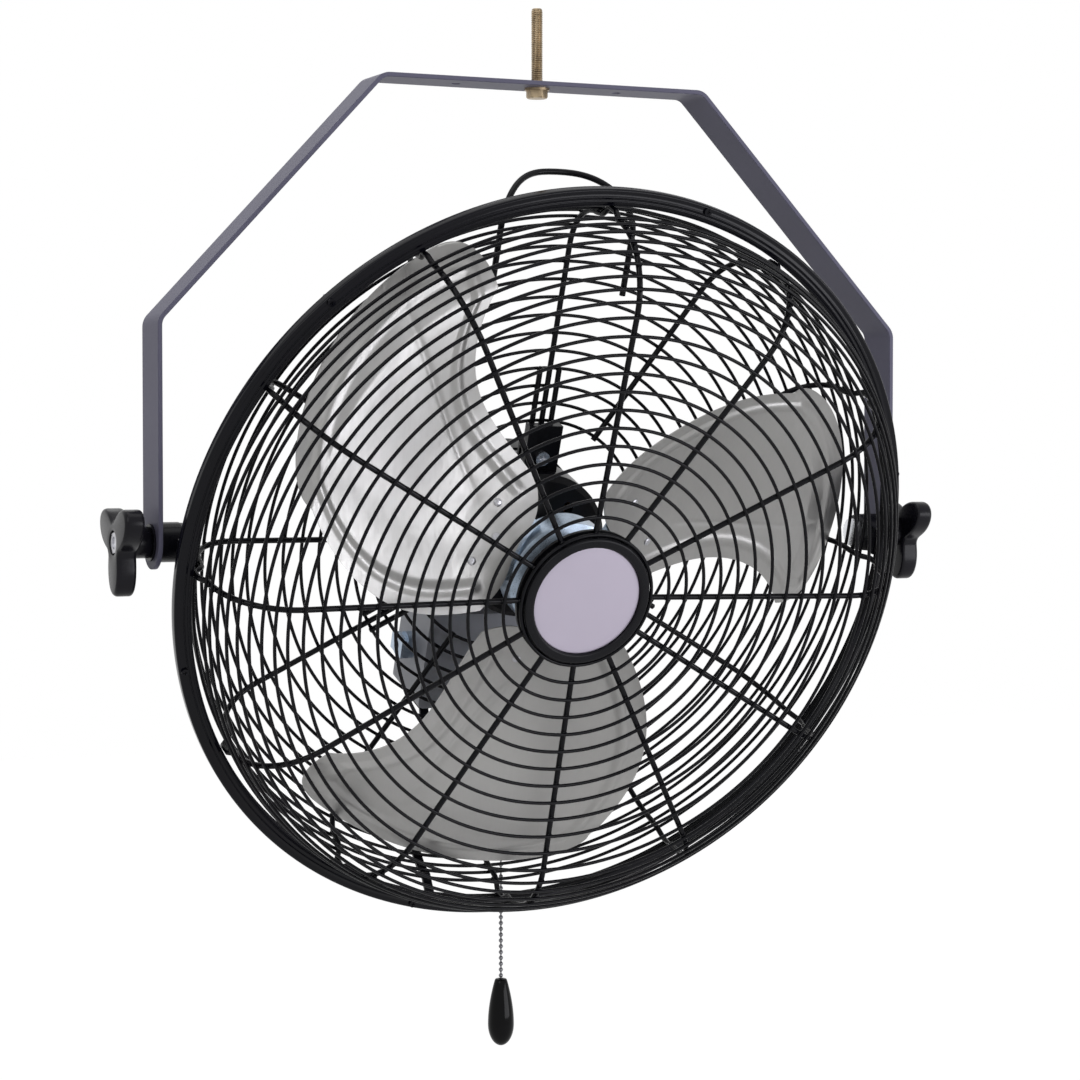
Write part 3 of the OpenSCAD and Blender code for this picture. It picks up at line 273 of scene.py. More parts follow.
def blade_material():
    """Aluminium sheet: mill lines along the roll, and fine spots between them."""
    m, nt, bsdf = new_mat("blade_rolled_aluminium")
    big = noise(nt, 9, 3)
    mill = noise(nt, 900, 4, 0.6, (1.0, 0.12, 0.12))
    spots = noise(nt, 1100, 2, 0.5)
    col = ramp(nt, big, [(0.3, (0.36, 0.355, 0.35)), (0.7, (0.42, 0.415, 0.405))])
    nt.links.new(col, bsdf.inputs["Base Color"])
    bsdf.inputs["Metallic"].default_value = 0.85
    nt.links.new(span(nt, mill, 0.30, 0.46), bsdf.inputs["Roughness"])
    add = nt.nodes.new("ShaderNodeMath")
    add.operation = "MULTIPLY_ADD"
    add.inputs[1].default_value = 0.9
    nt.links.new(spots, add.inputs[0])
    nt.links.new(mill, add.inputs[2])
    bump(nt, bsdf, add.outputs["Value"], 0.35, 0.00006)
    return m


MATS["blade_alu"] = blade_material()
SLOT_OF = {s["node"]: s["material_slot"] for s in frame["record"]["subparts"]}
for node, part in frame["nodes"].items():
    if not part.material_slots:
        part.data.materials.append(None)
    for slot in part.material_slots:
        slot.material = MATS[SLOT_OF[node]]


# Mesh helpers

def mmv(*p):
    return Vector([c * MM for c in p])


def ring_faces(rows, n):
    """Quads between successive closed rows of n points each."""
    return [(i * n + k, i * n + (k + 1) % n, (i + 1) * n + (k + 1) % n, (i + 1) * n + k)
            for i in range(rows - 1) for k in range(n)]


def fix_normals(ob):
    bm = bmesh.new()
    bm.from_mesh(ob.data)
    bmesh.ops.recalc_face_normals(bm, faces=bm.faces)
    bm.to_mesh(ob.data)
    bm.free()
    ob.data.update()


class Build:
    """Collects vertices and faces of one piece, in metres."""

    def __init__(self):
        self.v, self.f = [], []

    def add(self, verts, faces, m=None):
        k = len(self.v)
        self.v += [tuple(m @ Vector(p)) if m else tuple(p) for p in verts]
        self.f += [tuple(i + k for i in f) for f in faces]

    def lathe(self, prof, segs, m=None):
        """Profile points (r, z) in millimetres turned about z; r = 0 closes the end."""
        verts, rows = [], []
        for r, z in prof:
            r, z = r * MM, z * MM
            if r < 1e-9:
                rows.append([len(verts)])
                verts.append((0, 0, z))
            else:
                rows.append(list(range(len(verts), len(verts) + segs)))
                verts += [(r * cos(2 * pi * k / segs), r * sin(2 * pi * k / segs), z)
                          for k in range(segs)]
        faces = []
        for a, b in zip(rows, rows[1:]):
            for k in range(segs):
                j = (k + 1) % segs
                if len(a) == 1 and len(b) == 1:
                    continue
                if len(a) == 1:
                    faces.append((a[0], b[j], b[k]))
                elif len(b) == 1:
                    faces.append((a[k], a[j], b[0]))
                else:
                    faces.append((a[k], a[j], b[j], b[k]))
        self.add(verts, faces, m)

    def tube(self, path, radius, sides, ref, m=None, closed=False):
        """Round wire along the path; radius is a number or one per point."""
        n = len(path)
        path = [Vector(p) for p in path]
        verts = []
        for i in range(n):
            if closed:
                d = path[(i + 1) % n] - path[i - 1]
            else:
                d = path[min(i + 1, n - 1)] - path[max(i - 1, 0)]
            d.normalize()
            s = d.cross(Vector(ref)).normalized()
            u = s.cross(d)
            rad = radius[i] if isinstance(radius, list) else radius
            verts += [path[i] + rad * (cos(2 * pi * k / sides) * s + sin(2 * pi * k / sides) * u)
                      for k in range(sides)]
        faces = []
        for i in range(n if closed else n - 1):
            a, b = i * sides, ((i + 1) % n) * sides
            faces += [(a + k, b + k, b + (k + 1) % sides, a + (k + 1) % sides)
                      for k in range(sides)]
        if not closed:
            faces.append(tuple(range(sides)))
            faces.append(tuple((n - 1) * sides + k for k in reversed(range(sides))))
        self.add(verts, faces, m)

    def object(self, name, body, slot, cad, angle=40):
        """Makes the piece; edges sharper than the angle in degrees stay hard."""
        me = bpy.data.meshes.new(name)
        me.from_pydata(self.v, [], self.f)
        me.validate()
        me.update()
        ob = bpy.data.objects.new(name, me)
        bpy.context.scene.collection.objects.link(ob)
        me.materials.append(MATS[slot])
        me.shade_smooth()
        me.set_sharp_from_angle(angle=radians(angle))
        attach(ob, body)
        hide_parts(*cad)
        fix_normals(ob)
        return ob


# Guards: places are (r, f), the radius and the distance forward

def corner(s, arc, side):
    """Place at length s from CORNER_R0 on, round the corner towards the rim."""
    c, cr, cf = arc
    flat = cr - CORNER_R0
    if s < flat:
        return CORNER_R0 + s, cf + side * c
    a = (s - flat) / c
    if a < pi / 2:
        return cr + c * sin(a), cf + side * c * cos(a)
    deg = math.degrees(a) - 90
    return cr + c + deg * 0.004 * c, cf - side * deg * 0.0165 * c


def ring_places(front):
    if front:
        flat = [(RING_R0 + RING_PITCH * k, FRONT_F - DISH + SLOPE * RING_PITCH * k)
                for k in range(RING_N)]
        return flat + [corner(CORNER_PITCH * k, FRONT_ARC, 1) for k in range(CORNER_N)]
    flat = [(RING_R0 + RING_PITCH * k, REAR_F) for k in range(REAR_SKIP, RING_N)]
    return flat + [corner(CORNER_PITCH * k, REAR_ARC, -1) for k in range(CORNER_N)]


def torus(b, r, f, wire):
    """One guard ring."""
    n = max(96, int(r * 1.1))
    path = [(r * cos(2 * pi * k / n) * MM, r * sin(2 * pi * k / n) * MM, f * MM)
            for k in range(n)]
    b.tube(path, wire / 2 * MM, 10, (0, 0, 1), FAN, closed=True)


def spoke_path(front):
    """Places along a spoke, from its inner end to the one inside the rim."""
    c, cr, cf = FRONT_ARC if front else REAR_ARC
    if front:
        f0 = FRONT_F - DISH - OFF
        pts = [(30, f0), (38, f0), (RING_R0, f0)]
        pts += [(RING_R0 + (cr - RING_R0) * t / 8, f0 + (cf + c - OFF - f0) * t / 8)
                for t in range(1, 8)]
        pts += [(cr + (c - OFF) * sin(radians(a)), cf + (c - OFF) * cos(radians(a)))
                for a in range(0, 91, 6)]
        r, f = pts[-1]
        pts += [(r + (SPOKE_END_R - r) * t, f + (38 - f) * t) for t in (0.35, 0.7, 1)]
        return pts + [(SPOKE_END_R, 31.2)]
    f0 = REAR_F + OFF
    pts = [(REAR_SPOKE_R, f0)]
    pts += [(REAR_SPOKE_R + (cr - REAR_SPOKE_R) * t / 8, f0) for t in range(1, 8)]
    pts += [(cr + (c - OFF) * sin(radians(a)), cf - (c - OFF) * cos(radians(a)))
            for a in range(0, 91, 6)]
    r, f = corner(CORNER_PITCH * (CORNER_N - 1), REAR_ARC, -1)
    pts += [(r - OFF - 0.15, f + 2), (r - 0.8, f + OFF + 2), (249.1, 25.65)]
    return pts + [(SPOKE_END_R, 27.5), (SPOKE_END_R, 30.8)]


def weld_frame(r, f, front):
    """Frame of the weld between a spoke and the ring at this place; z points outwards."""
    c, cr, cf = FRONT_ARC if front else REAR_ARC
    side = 1 if front else -1
    if r < cr:
        nr, nf = 0, side
    elif (f - cf) * side < 0:
        nr, nf = 1, 0
    else:
        nr, nf = (r - cr) / c, (f - cf) / c
    y, z = Vector((0, 1, 0)), Vector((nr, 0, nf)).normalized()
    m = Matrix((y.cross(z), y, z)).transposed().to_4x4()
    m.translation = mmv(r - nr * WELD_IN, 0, f - nf * WELD_IN)
    return m


def guard(front):
    name = "front" if front else "rear"
    places = ring_places(front)
    rings = Build()
    for r, f in places:
        torus(rings, r, f, RING_D)
    torus(rings, END_RING_R, END_RING_FRONT if front else END_RING_REAR, END_RING_D)
    rings.object(name + "_guard_rings", "head", "wire_gloss", (name + "_rings",))
    spokes = Build()
    path = [(r * MM, 0, f * MM) for r, f in spoke_path(front)]
    for k in range(SPOKE_N):
        turn = FAN @ Matrix.Rotation(radians(360 / SPOKE_N * k), 4, "Z")
        spokes.tube(path, WIRE_R * MM, 14, (0, 1, 0), turn)
        for r, f in places:
            spokes.lathe(WELD, 8, turn @ weld_frame(r, f, front))
    spokes.object(name + "_guard_spokes", "head", "wire_gloss", (name + "_spokes",))


def mount_bars():
    """Three pairs of straight bars that carry the motor on the rear guard."""
    b = Build()
    wire = WIRE_R * MM
    f = REAR_F + OFF
    for a in (90, 210, 330):
        turn = FAN @ Matrix.Rotation(radians(a), 4, "Z")
        for y in (-PAIR_Y, PAIR_Y):
            path = [mmv(PAIR_IN + t * (PAIR_OUT - PAIR_IN) / 6, y, f) for t in range(7)]
            path = [mmv(PAIR_IN - 0.6, y, f)] + path + [mmv(PAIR_OUT + 0.6, y, f)]
            b.tube(path, [wire * 0.6] + [wire] * 7 + [wire * 0.6], 14, (0, 1, 0), turn)
            for k in (3, 4, 5, 6):
                r = RING_R0 + RING_PITCH * k
                at = Matrix.Translation(mmv(sqrt(r * r - y * y), y, REAR_F + WELD_IN))
                b.lathe(WELD, 8, turn @ at)
    b.object("motor_mount_bars", "head", "wire_gloss", ("mount_bars",))


def carry_handle():
    """Wire loop that stands up and back from the rear guard's top rings."""
    f0 = REAR_F - RING_D / 2 - 2.2
    arch = [(HANDLE_X * cos(t) ** 0.62, HANDLE_KNEE + (HANDLE_TOP - HANDLE_KNEE) * sin(t),
             f0 - HANDLE_REACH * (1 - cos(t) ** 1.3))
            for t in [pi / 2 * i / 30 for i in range(30)]]
    arch.append((0, HANDLE_TOP, f0 - HANDLE_REACH))
    leg = [174, 185, 196, 205]
    pts = [(-HANDLE_X, y, f0) for y in leg] + [(-x, y, f) for x, y, f in arch]
    pts += arch[-2::-1] + [(HANDLE_X, y, f0) for y in reversed(leg)]
    # three passes even out the bends
    pts = [Vector(p) for p in pts]
    for _ in range(3):
        inner = [(pts[i - 1] + pts[i] * 2 + pts[i + 1]) / 4 for i in range(1, len(pts) - 1)]
        pts = [pts[0]] + inner + [pts[-1]]
    b = Build()
    b.tube([p * MM for p in pts], 2.15 * MM, 16, (0.03, 0.4, 1), FAN)
    for x in (-HANDLE_X, HANDLE_X):
        for r, f in ring_places(False):
            y = sqrt(max(0, r * r - x * x))
            if 176 < y < 207 and f < -20:
                b.lathe(HANDLE_WELD, 8, FAN @ Matrix.Translation(mmv(x, y, f - WELD_IN)))
    b.object("carry_handle_wire", "head", "wire_gloss", ("carry_handle",))


# Rim

def rolled_lip(f):
    """Section of a flange's inner edge, which turns over in a small roll."""
    return [(LIP_R + 0.9, f + 0.5), (LIP_R + 0.25, f + 0.35), (LIP_R, f),
            (LIP_R + 0.25, f - 0.35), (LIP_R + 0.9, f - 0.5)]


def rim():
    r0 = RIM_R - RIM_EDGE
    arc = [radians(15 * k) for k in range(7)]
    loop = [(r0 + RIM_EDGE * cos(a - pi / 2), RIM_BACK + RIM_EDGE + RIM_EDGE * sin(a - pi / 2))
            for a in arc]
    loop += [(r0 + RIM_EDGE * cos(a), RIM_FRONT - RIM_EDGE + RIM_EDGE * sin(a)) for a in arc]
    loop.append((262, RIM_FRONT))
    # two shallow pressed beads run round the front flange
    for r in (260.2, 257.4):
        loop += [(r, RIM_FRONT), (r - 0.4, RIM_FRONT + 0.4),
                 (r - 1.2, RIM_FRONT + 0.4), (r - 1.6, RIM_FRONT)]
    inner, web_front, web_back = RIM_R - RIM_T, RIM_FRONT - RIM_T, RIM_BACK + RIM_T
    loop += rolled_lip(RIM_FRONT - RIM_T / 2)
    loop += [(inner - 0.4, web_front), (inner, web_front - 0.4),
             (inner, web_back + 0.4), (inner - 0.4, web_back)]
    loop += rolled_lip(RIM_BACK + RIM_T / 2) + [(262, RIM_BACK)]
    b = Build()
    segs = 256
    verts, faces = [], []
    for s in range(segs):
        a = 2 * pi * s / segs
        verts += [(r * cos(a) * MM, r * sin(a) * MM, f * MM) for r, f in loop]
    n = len(loop)
    for s in range(segs):
        t = (s + 1) % segs
        faces += [(s * n + k, t * n + k, t * n + (k + 1) % n, s * n + (k + 1) % n)
                  for k in range(n)]
    b.add(verts, faces, FAN)
    b.object("rim_hoop", "head", "rim_gloss", ("rim_ring",), 50)


# Hub cap and badge

def hub_cap():
    base = FRONT_F - DISH - OFF + 2.1
    face = base + 3.8
    prof = [(0, base - 4.0), (24.7, base - 4.0), (24.7, base), (44.6, base), (45, base + 0.35)]
    prof += [(43.2 + 1.8 * cos(a), face - 1.8 + 1.8 * sin(a))
             for a in [radians(15 * k) for k in range(7)]]
    prof += [(40.2, face + 0.12), (39.4, face + 0.02), (38.75, face - 0.25), (38.4, face - 0.8),
             (38.3, face - 2.4), (38.3, face - 3.0), (0, face - 3.0)]
    b = Build()
    b.lathe(prof, 160, FAN)
    b.object("hub_cap_shell", "head", "cap_plastic", ("hub_cap",), 50)
    b = Build()
    top = face - 2.2
    prof = [(0, top - 0.8), (38.0, top - 0.8), (38.1, top - 0.7), (38.1, top - 0.25),
            (37.85, top - 0.04), (37.2, top), (30, top + 0.10), (15, top + 0.16), (0, top + 0.18)]
    b.lathe(prof, 160, FAN)
    b.object("badge_plate", "head", "badge_face", ("badge_disc",), 50)


# Blades: the surface of the CAD blades, with a pressed bead and a fold added.
# u runs from 0 at the rear edge to 1 at the front edge, r is the radius; angles are in degrees.

def smooth(x):
    x = max(0.0, min(1.0, x))
    return x * x * (3 - 2 * x)


def rear_a(r):
    return -0.8 - 9 * ((BLADE_MID - min(r, BLADE_TIP)) / 60) ** 2


def front_a(r):
    t = (min(r, BLADE_TIP) - 70) / (BLADE_TIP - 70)
    return 75.4 - 31.9 * t + 12 * t * (1 - t)


def rear_f(r):
    if r < BLADE_MID:
        return 16 + 19.6 * ((BLADE_MID - r) / 85) ** 2
    return 16 - 9.3 * ((r - BLADE_MID) / (BLADE_TIP - BLADE_MID)) ** 3


def front_f(r):
    rise = sin(radians(max(0, min(180, 90 * (r - 58) / 84))))
    return 59 + 12.4 * rise ** 2 - max(0, r - 190) * 0.2


def tip_at(u):
    k = 0.22
    if u < k:
        return BLADE_TIP + TIP_REACH * sqrt(max(0, 1 - ((k - u) / k) ** 4))
    return BLADE_TIP + TIP_REACH * max(0, 1 - ((u - k) / (1 - k)) ** 2.2) ** 0.55


def root_at(u):
    return BLADE_ROOT + 22 * abs(2 * u - 1) ** 4


def across(r, u):
    """Angle in radians."""
    return radians(rear_a(r) + (front_a(r) - rear_a(r)) * u)


def blade_point(r, u, up):
    a = across(r, u)
    hollow = 5 * min(1, max(0, (r - BLADE_ROOT) / 40))
    f = rear_f(r) + (front_f(r) - rear_f(r)) * u - hollow * 4 * u * (1 - u)
    return Vector((r * cos(a), r * sin(a), f + up))


def on_plane(r, u):
    a = across(r, u)
    return r * cos(a), r * sin(a)


def ridge(d, half):
    return cos(pi / 2 * d / half) ** 2 if abs(d) < half else 0.0


def fold_gap(r, u):
    """Distance from the straight fold, which runs from the middle of the root to the tip."""
    (x0, y0), (x1, y1), (x, y) = on_plane(60, 0.5), on_plane(204, 0.33), on_plane(r, u)
    return abs((x - x0) * (y1 - y0) - (y - y0) * (x1 - x0)) / math.hypot(x1 - x0, y1 - y0)


def relief(r, u):
    """Height of the pressed pattern: a bead that runs inside the outline, and the fold."""
    width = radians(front_a(r) - rear_a(r)) * r
    edge = min(u * width, (1 - u) * width, (tip_at(u) - r))
    bead = PRESS_H * ridge(edge - PRESS_IN, PRESS_HALF_W) * smooth((r - 60) / 9)
    d = fold_gap(r, u)
    fade = smooth((r - 75) / 26) * smooth((226 - r) / 26)
    fold = FOLD_H * (1 - min(1, d / FOLD_HALF_W)) ** 2
    fold += CREASE_H * math.exp(-(d / CREASE_W) ** 2)
    return bead - fold * fade


def blade(k, name):
    nu, nv = 150, 150
    verts = []
    for up in (BLADE_HALF_T, -BLADE_HALF_T):
        for i in range(nu + 1):
            u = (1 - cos(pi * i / nu)) / 2
            lo, hi = root_at(u), tip_at(u)
            for j in range(nv + 1):
                r = lo + (hi - lo) * (j / nv)
                verts.append(blade_point(r, u, up + relief(r, u)) * MM)
    w = nv + 1
    n = (nu + 1) * w
    faces = []
    for i in range(nu):
        for j in range(nv):
            a = i * w + j
            faces.append((a, a + w, a + w + 1, a + 1))
            faces.append((n + a, n + a + 1, n + a + w + 1, n + a + w))
    # the sheet's edge, round the outline
    loop = [i * w for i in range(nu)] + [nu * w + j for j in range(nv)]
    loop += [i * w + nv for i in range(nu, 0, -1)] + list(range(nv, 0, -1))
    for p, q in zip(loop, loop[1:] + loop[:1]):
        faces.append((p, p + n, q + n, q))
    b = Build()
    b.add(verts, faces, FAN @ Matrix.Rotation(radians(120 * (k - 1)), 4, "Z"))
    b.object(name, "spinner", "blade_alu", ("blade_%d" % k,), 50)


def rivets():
    prof = [(0, -4.1), (2.2, -4.0), (3.3, -3.4), (3.6, -2.8), (2.4, -2.76), (2.4, 0.68),
            (2.85, 0.68)]
    prof += [(2.9 * cos(radians(a)), 0.72 + 1.1 * sin(radians(a))) for a in range(0, 90, 12)]
    prof += [(1.0, 1.72), (0.8, 1.3), (0, 1.25)]
    b = Build()
    for k in range(3):
        for r, u in ((69, 0.3), (58, 0.5), (69, 0.7)):
            at = blade_point(r, u, 0)
            out, along = blade_point(r + 1, u, 0) - at, blade_point(r, u + 0.01, 0) - at
            m = out.cross(along).normalized().to_track_quat("Z", "Y").to_matrix().to_4x4()
            m.translation = at * MM
            b.lathe(prof, 28, FAN @ Matrix.Rotation(radians(120 * k), 4, "Z") @ m)
    b.object("blade_rivets", "spinner", "nut_steel", ("rivets",), 45)


# Yoke: bent flat bar with rounded bends, full-round ends and broken edges

def yoke_path():
    """Points (x, z, kind) of the bar's outer face, from the right end to the left one."""
    corners = [(LEG_X, -PIVOT_DROP), (LEG_X, SHOULDER_Z), (SHOULDER_X, 0)]
    corners += [(-x, z) for x, z in reversed(corners)]
    end = [-PIVOT_DROP - BAR_HALF_W * cos(pi / 2 * i / 12) for i in range(13)]
    path = [(LEG_X, z, "end") for z in end]
    for i in range(1, 5):
        p, c, q = [Vector((*corners[j], 0)) for j in (i - 1, i, i + 1)]
        d0, d1 = (c - p).normalized(), (q - c).normalized()
        ang = d0.angle(d1)
        cut = YOKE_BEND_R * math.tan(ang / 2)
        a = c - d0 * cut
        centre = a + Vector((-d0.y, d0.x, 0)) * YOKE_BEND_R
        path.append((*(a - d0 * 2).xy, "bar"))
        v = a - centre
        for k in range(13):
            th = ang * k / 12
            path.append((centre.x + v.x * cos(th) - v.y * sin(th),
                         centre.y + v.x * sin(th) + v.y * cos(th), "bar"))
        path.append((*(c + d1 * (cut + 2)).xy, "bar"))
    return path + [(-LEG_X, z, "end") for z in reversed(end)]


def yoke_cutter():
    """Object with the bar's five holes as solid pins."""
    cut = Build()
    for x, r in ((-SCREW_HOLE_X, SCREW_HOLE_R), (SCREW_HOLE_X, SCREW_HOLE_R), (0, BOLT_HOLE_R)):
        cut.lathe([(0, -9), (r, -9), (r, 6), (0, 6)], 40, Matrix.Translation(mmv(x, 0, 0)))
    pin = [(0, 262), (BOLT_HOLE_R, 262), (BOLT_HOLE_R, 280), (0, 280)]
    for s in (-1, 1):
        cut.lathe(pin, 40, Matrix.Translation((0, 0, -DROP)) @ Matrix.Rotation(s * pi / 2, 4, "Y"))
    me = bpy.data.meshes.new("cutter")
    me.from_pydata(cut.v, [], cut.f)
    cutter = bpy.data.objects.new("cutter", me)
    bpy.context.scene.collection.objects.link(cutter)
    fix_normals(cutter)
    return cutter


def yoke():
    path = yoke_path()
    t, e = BAR_T, 0.35
    verts, n = [], len(path)
    for i, (x, z, kind) in enumerate(path):
        if kind == "end":
            d = Vector((0, 1)) if x > 0 else Vector((0, -1))
            w = max(0.4, sqrt(max(0.0, BAR_HALF_W ** 2 - (z + PIVOT_DROP) ** 2)))
        else:
            a, c = path[i - 1], path[i + 1]
            d = Vector((c[0] - a[0], c[1] - a[1])).normalized()
            w = BAR_HALF_W
        prof = [(-w + e, 0), (w - e, 0), (w, e), (w, t - e),
                (w - e, t), (-w + e, t), (-w, t - e), (-w, e)]
        verts += [((x - d.y * s) * MM, y * MM, (z + d.x * s) * MM) for y, s in prof]
    faces = ring_faces(n, 8)
    faces.append(tuple(reversed(range(8))))
    faces.append(tuple((n - 1) * 8 + k for k in range(8)))
    b = Build()
    b.add(verts, faces)
    ob = b.object("yoke_bar", "mount_frame", "yoke_paint", ("yoke",), 30)
    cutter = yoke_cutter()
    mod = ob.modifiers.new("holes", "BOOLEAN")
    mod.operation = "DIFFERENCE"
    mod.solver = "EXACT"
    mod.object = cutter
    bpy.context.view_layer.update()
    done = bpy.data.meshes.new_from_object(
        ob.evaluated_get(bpy.context.evaluated_depsgraph_get()))
    ob.modifiers.clear()
    ob.data = done
    bpy.data.objects.remove(cutter)
    ob.data.shade_smooth()
    ob.data.set_sharp_from_angle(angle=radians(30))


# Hanger bolt with a rolled thread

def hanger_bolt():
    b = Build()
    pitch, r_out, r_in = 1.25, 3.95, 3.35
    z0, z1 = 1.5, 50.4
    steps = 24
    rows = int((z1 - z0) / pitch * 4) + 1
    verts = []
    for i in range(rows):
        z = z0 + (z1 - z0) * i / (rows - 1)
        fade = min(1.0, (z1 - z) / 1.5)
        for k in range(steps):
            h = abs(2 * ((z / pitch - k / steps) % 1.0) - 1)
            r = (r_in + (r_out - r_in) * min(1, 1.25 * h)) * (0.9 + 0.1 * fade)
            a = 2 * pi * k / steps
            verts.append((r * cos(a) * MM, r * sin(a) * MM, z * MM))
    faces = ring_faces(rows, steps)
    faces.append(tuple(reversed(range(steps))))
    b.add(verts, faces)
    b.lathe([(3.4, z1), (3.0, z1 + 0.5), (0, z1 + 0.6)], steps)
    # hexagon head below the bar and the washer; its corners are turned down to a radius
    high = -BAR_T - 1.6
    low = high - 5.3
    n = 48
    verts = []
    for z, most in ((high, 7.35), (low + 0.9, 7.35), (low, 6.525)):
        for j in range(n):
            a = 2 * pi * j / n
            r = min(6.5 / cos((a % (pi / 3)) - pi / 6), most)
            verts.append((r * cos(a + pi / 6) * MM, r * sin(a + pi / 6) * MM, z * MM))
    faces = ring_faces(3, n)
    faces.append(tuple(range(n)))
    faces.append(tuple(reversed(range(2 * n, 3 * n))))
    b.add(verts, faces)
    shank = [(0, high), (4.0, high), (4.0, 0.4), (3.9, 0.5), (3.3, 0.8), (3.25, 1.6), (0, 1.6)]
    b.lathe(shank, 32)
    b.object("hanger_bolt_threaded", "mount_frame", "bolt_zinc", ("hanger_bolt",), 30)


# Clamp knobs with three rounded lobes

def lobes(inset, n):
    """Points (x, y) of the knob's outline, drawn in by the inset."""
    waist, reach = 14.2, 34.5
    pts = []
    for k in range(n):
        a = 2 * pi * k / n
        q = ((a + pi / 3) % (2 * pi / 3)) - pi / 3
        r = waist + (reach - waist) * abs(cos(1.5 * q)) ** 2.6
        # blunt, rounded lobe end
        r = min(r, reach - 2.2 * (1 - cos(min(1.0, abs(q) * 2.2))))
        pts.append((max(0.5, r - inset) * cos(a), max(0.5, r - inset) * sin(a)))
    return pts


def knob(side):
    name = "right" if side > 0 else "left"
    n = 180
    seat = LEG_X + 1.5 + 0.1       # on the washer, with its play
    low = seat + 11.0
    top = low + 13.0
    arc = [radians(a) for a in (0, 18, 36, 54, 72, 90)]
    layers = [(low + 2.6 - 2.6 * sin(a), 2.6 - 2.6 * cos(a)) for a in reversed(arc)]
    layers += [(top - 3.2 + 3.2 * sin(a), 3.2 - 3.2 * cos(a)) for a in arc]
    verts = [(x * MM, y * MM, z * MM) for z, inset in layers for x, y in lobes(inset, n)]

    def circle(r, z):
        return [(r * cos(2 * pi * k / n) * MM, r * sin(2 * pi * k / n) * MM, z * MM)
                for k in range(n)]

    # the outer face runs in to a recess round the moulded nut
    face = [(11.6, top), (11.0, top + 0.02), (9.4, top - 0.1), (8.2, top - 0.2),
            (7.9, top - 0.6), (7.9, top - 2.5), (4.2, top - 2.5)]
    for r, z in face:
        verts += circle(r, z)
    faces = ring_faces(len(layers) + len(face), n)
    # round neck between the lobes and the washer
    k0 = len(verts)
    for r, z in ((10.25, low), (10.25, seat + 0.6), (9.8, seat), (4.1, seat)):
        verts += circle(r, z)
    faces += [((k + 1) % n, k, k0 + k, k0 + (k + 1) % n) for k in range(n)]
    for i in range(3):
        a = k0 + i * n
        faces += [(a + (k + 1) % n, a + k, a + n + k, a + n + (k + 1) % n) for k in range(n)]
    m = PIVOT @ Matrix.Rotation(side * pi / 2, 4, "Y")
    if side < 0:
        m = m @ Matrix.Scale(-1, 4, (1, 0, 0))
    b = Build()
    b.add(verts, faces, m @ Matrix.Rotation(-TILT, 4, "Z"))
    b.object("clamp_knob_" + name, name + "_knob", "knob_plastic", ("knob_" + name,), 40)


# Chain and its pull, which hang straight down from the switch

def chain_at():
    return mmv(CHAIN_X, CHAIN_BACK * cos(TILT) + CHAIN_DOWN * sin(TILT), 0)


def chain_top():
    z = CHAIN_BACK * sin(TILT) - CHAIN_DOWN * cos(TILT) - PIVOT_DROP
    return z - BALL_R - 0.4


def teardrop():
    wide, long, neck = 9.5, 49.0, 4.4
    low = 0.32 * long
    prof = [(wide * sin(radians(a)), low * (1 - cos(radians(a)))) for a in range(0, 91, 6)]
    for i in range(1, 33):
        t = i / 32
        prof.append((neck + (wide - neck) * max(0.0, cos(pi / 2 * t)) ** 0.9,
                     low + (long - low - 1.0) * t))
    prof += [(neck - 0.3, long - 0.5), (neck - 0.9, long - 0.12), (2.2, long),
             (1.5, long - 0.7), (0, long - 0.7)]
    z = chain_top() - BALL_PITCH * BALL_N - long
    b = Build()
    b.lathe([(r, z + h) for r, h in prof], 96, Matrix.Translation(chain_at()))
    b.object("teardrop_pull", "chain", "pull_gloss", ("chain_pull",), 50)


def ball_chain():
    b = Build()
    z0 = chain_top()
    at = Matrix.Translation(chain_at())
    for k in range(BALL_N):
        z = z0 - BALL_PITCH * (k + 0.5)
        # a hollow bead with a seam round its middle, and the link to the bead above
        ball = [(BALL_R * sin(radians(a)), z + BALL_R * cos(radians(a)))
                for a in range(0, 181, 15)]
        b.lathe([(r if r > 1e-6 else 0, h) for r, h in ball], 20, at)
        b.lathe([(1.57, z + 0.09), (1.63, z + 0.05), (1.63, z - 0.05), (1.57, z - 0.09)], 20, at)
        if k:
            b.lathe([(0.9, z + 1.36), (0.62, z + 1.6), (0.6, z + 2.6), (0.9, z + 2.9)], 12, at)
    for z in (z0, z0 - BALL_PITCH * BALL_N + 1.0):
        b.lathe([(0, z - 0.3), (0.64, z - 0.3), (0.64, z - 1.0), (0, z - 1.0)], 12, at)
    b.object("ball_chain", "chain", "chain_steel", ("pull_chain",), 50)


# Lights, floor and background

def area(name, at, size, power, color=(1, 1, 1)):
    li = bpy.data.lights.new(name, "AREA")
    li.shape = "RECTANGLE"
    li.size, li.size_y = size
    li.energy = power
    li.color = color
    ob = bpy.data.objects.new(name, li)
    ob.location = at
    ob.rotation_euler = (Vector(LIT) - Vector(at)).to_track_quat("-Z", "Y").to_euler()
    bpy.context.scene.collection.objects.link(ob)


def backdrop_part(nt, seen, rest):
    """Value seen + rest for camera, glossy and transmission rays, and rest for all others."""
    lp = nt.nodes.new("ShaderNodeLightPath")
    ray = lp.outputs["Is Camera Ray"]
    for kind in ("Is Glossy Ray", "Is Transmission Ray"):
        most = nt.nodes.new("ShaderNodeMath")
        most.operation = "MAXIMUM"
        nt.links.new(ray, most.inputs[0])
        nt.links.new(lp.outputs[kind], most.inputs[1])
        ray = most.outputs[0]
    part = nt.nodes.new("ShaderNodeMath")
    part.operation = "MULTIPLY_ADD"
    part.inputs[1].default_value = seen
    part.inputs[2].default_value = rest
    nt.links.new(ray, part.inputs[0])
    return part.outputs[0]


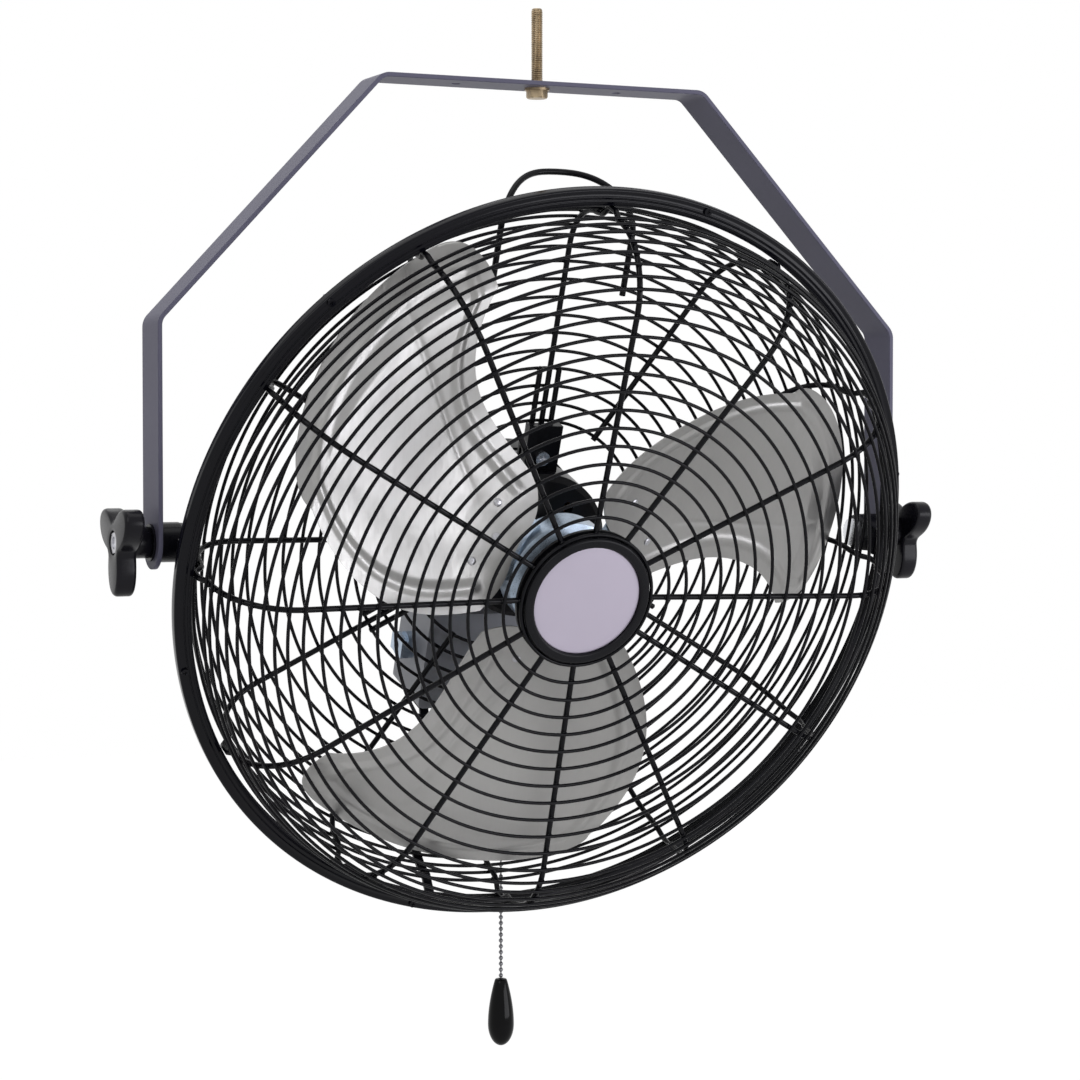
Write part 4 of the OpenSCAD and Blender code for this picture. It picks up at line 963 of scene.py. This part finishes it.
def backdrop():
    """White world, dimmer as a light than as a background."""
    world = bpy.data.worlds.new("studio")
    bpy.context.scene.world = world
    world.use_nodes = True
    nt = world.node_tree
    bg = nt.nodes["Background"]
    bg.inputs["Color"].default_value = (1, 1, 1, 1)
    nt.links.new(backdrop_part(nt, 0.74, 0.26), bg.inputs["Strength"])


def floor():
    """Pale floor well below the hanging fan, partly its own light where it is seen."""
    s, z = FLOOR_HALF, FLOOR_Z
    me = bpy.data.meshes.new("floor")
    me.from_pydata([(-s, -s, z), (s, -s, z), (s, s, z), (-s, s, z)], [], [(0, 1, 2, 3)])
    ob = bpy.data.objects.new("floor", me)
    bpy.context.scene.collection.objects.link(ob)
    m, nt, bsdf = new_mat("floor_pale")
    bsdf.inputs["Roughness"].default_value = 0.9
    bsdf.inputs["Specular IOR Level"].default_value = 0.1
    col = ramp(nt, noise(nt, 3, 3), [(0.3, (0.60, 0.60, 0.61)), (0.7, (0.64, 0.64, 0.65))])
    nt.links.new(col, bsdf.inputs["Base Color"])
    em = nt.nodes.new("ShaderNodeEmission")
    em.inputs["Strength"].default_value = 1.36
    mix = nt.nodes.new("ShaderNodeMixShader")
    out = next(n for n in nt.nodes if n.type == "OUTPUT_MATERIAL")
    nt.links.new(backdrop_part(nt, 0.7, 0.0), mix.inputs["Fac"])
    nt.links.new(bsdf.outputs[0], mix.inputs[1])
    nt.links.new(em.outputs[0], mix.inputs[2])
    nt.links.new(mix.outputs[0], out.inputs["Surface"])
    me.materials.append(m)


def studio():
    area("key_left", (-1.9, -1.6, 1.1), (1.4, 1.4), 14)
    area("blade_soft", (1.6, -2.15, -0.42), (2.3, 1.0), 34, (0.95, 0.95, 1.0))
    area("top_soft", (0.0, -0.3, 2.2), (2.2, 2.2), 16)
    area("back_rim", (0.0, 2.2, 1.7), (1.2, 0.8), 4)
    backdrop()
    floor()


place_camera()
studio()
guard(True)
guard(False)
mount_bars()
carry_handle()
rim()
hub_cap()
blade(1, "blade_right")
blade(2, "blade_left")
blade(3, "blade_low")
rivets()
yoke()
hanger_bolt()
knob(-1)
knob(1)
ball_chain()
teardrop()

bpy.context.scene.view_settings.view_transform = "Standard"
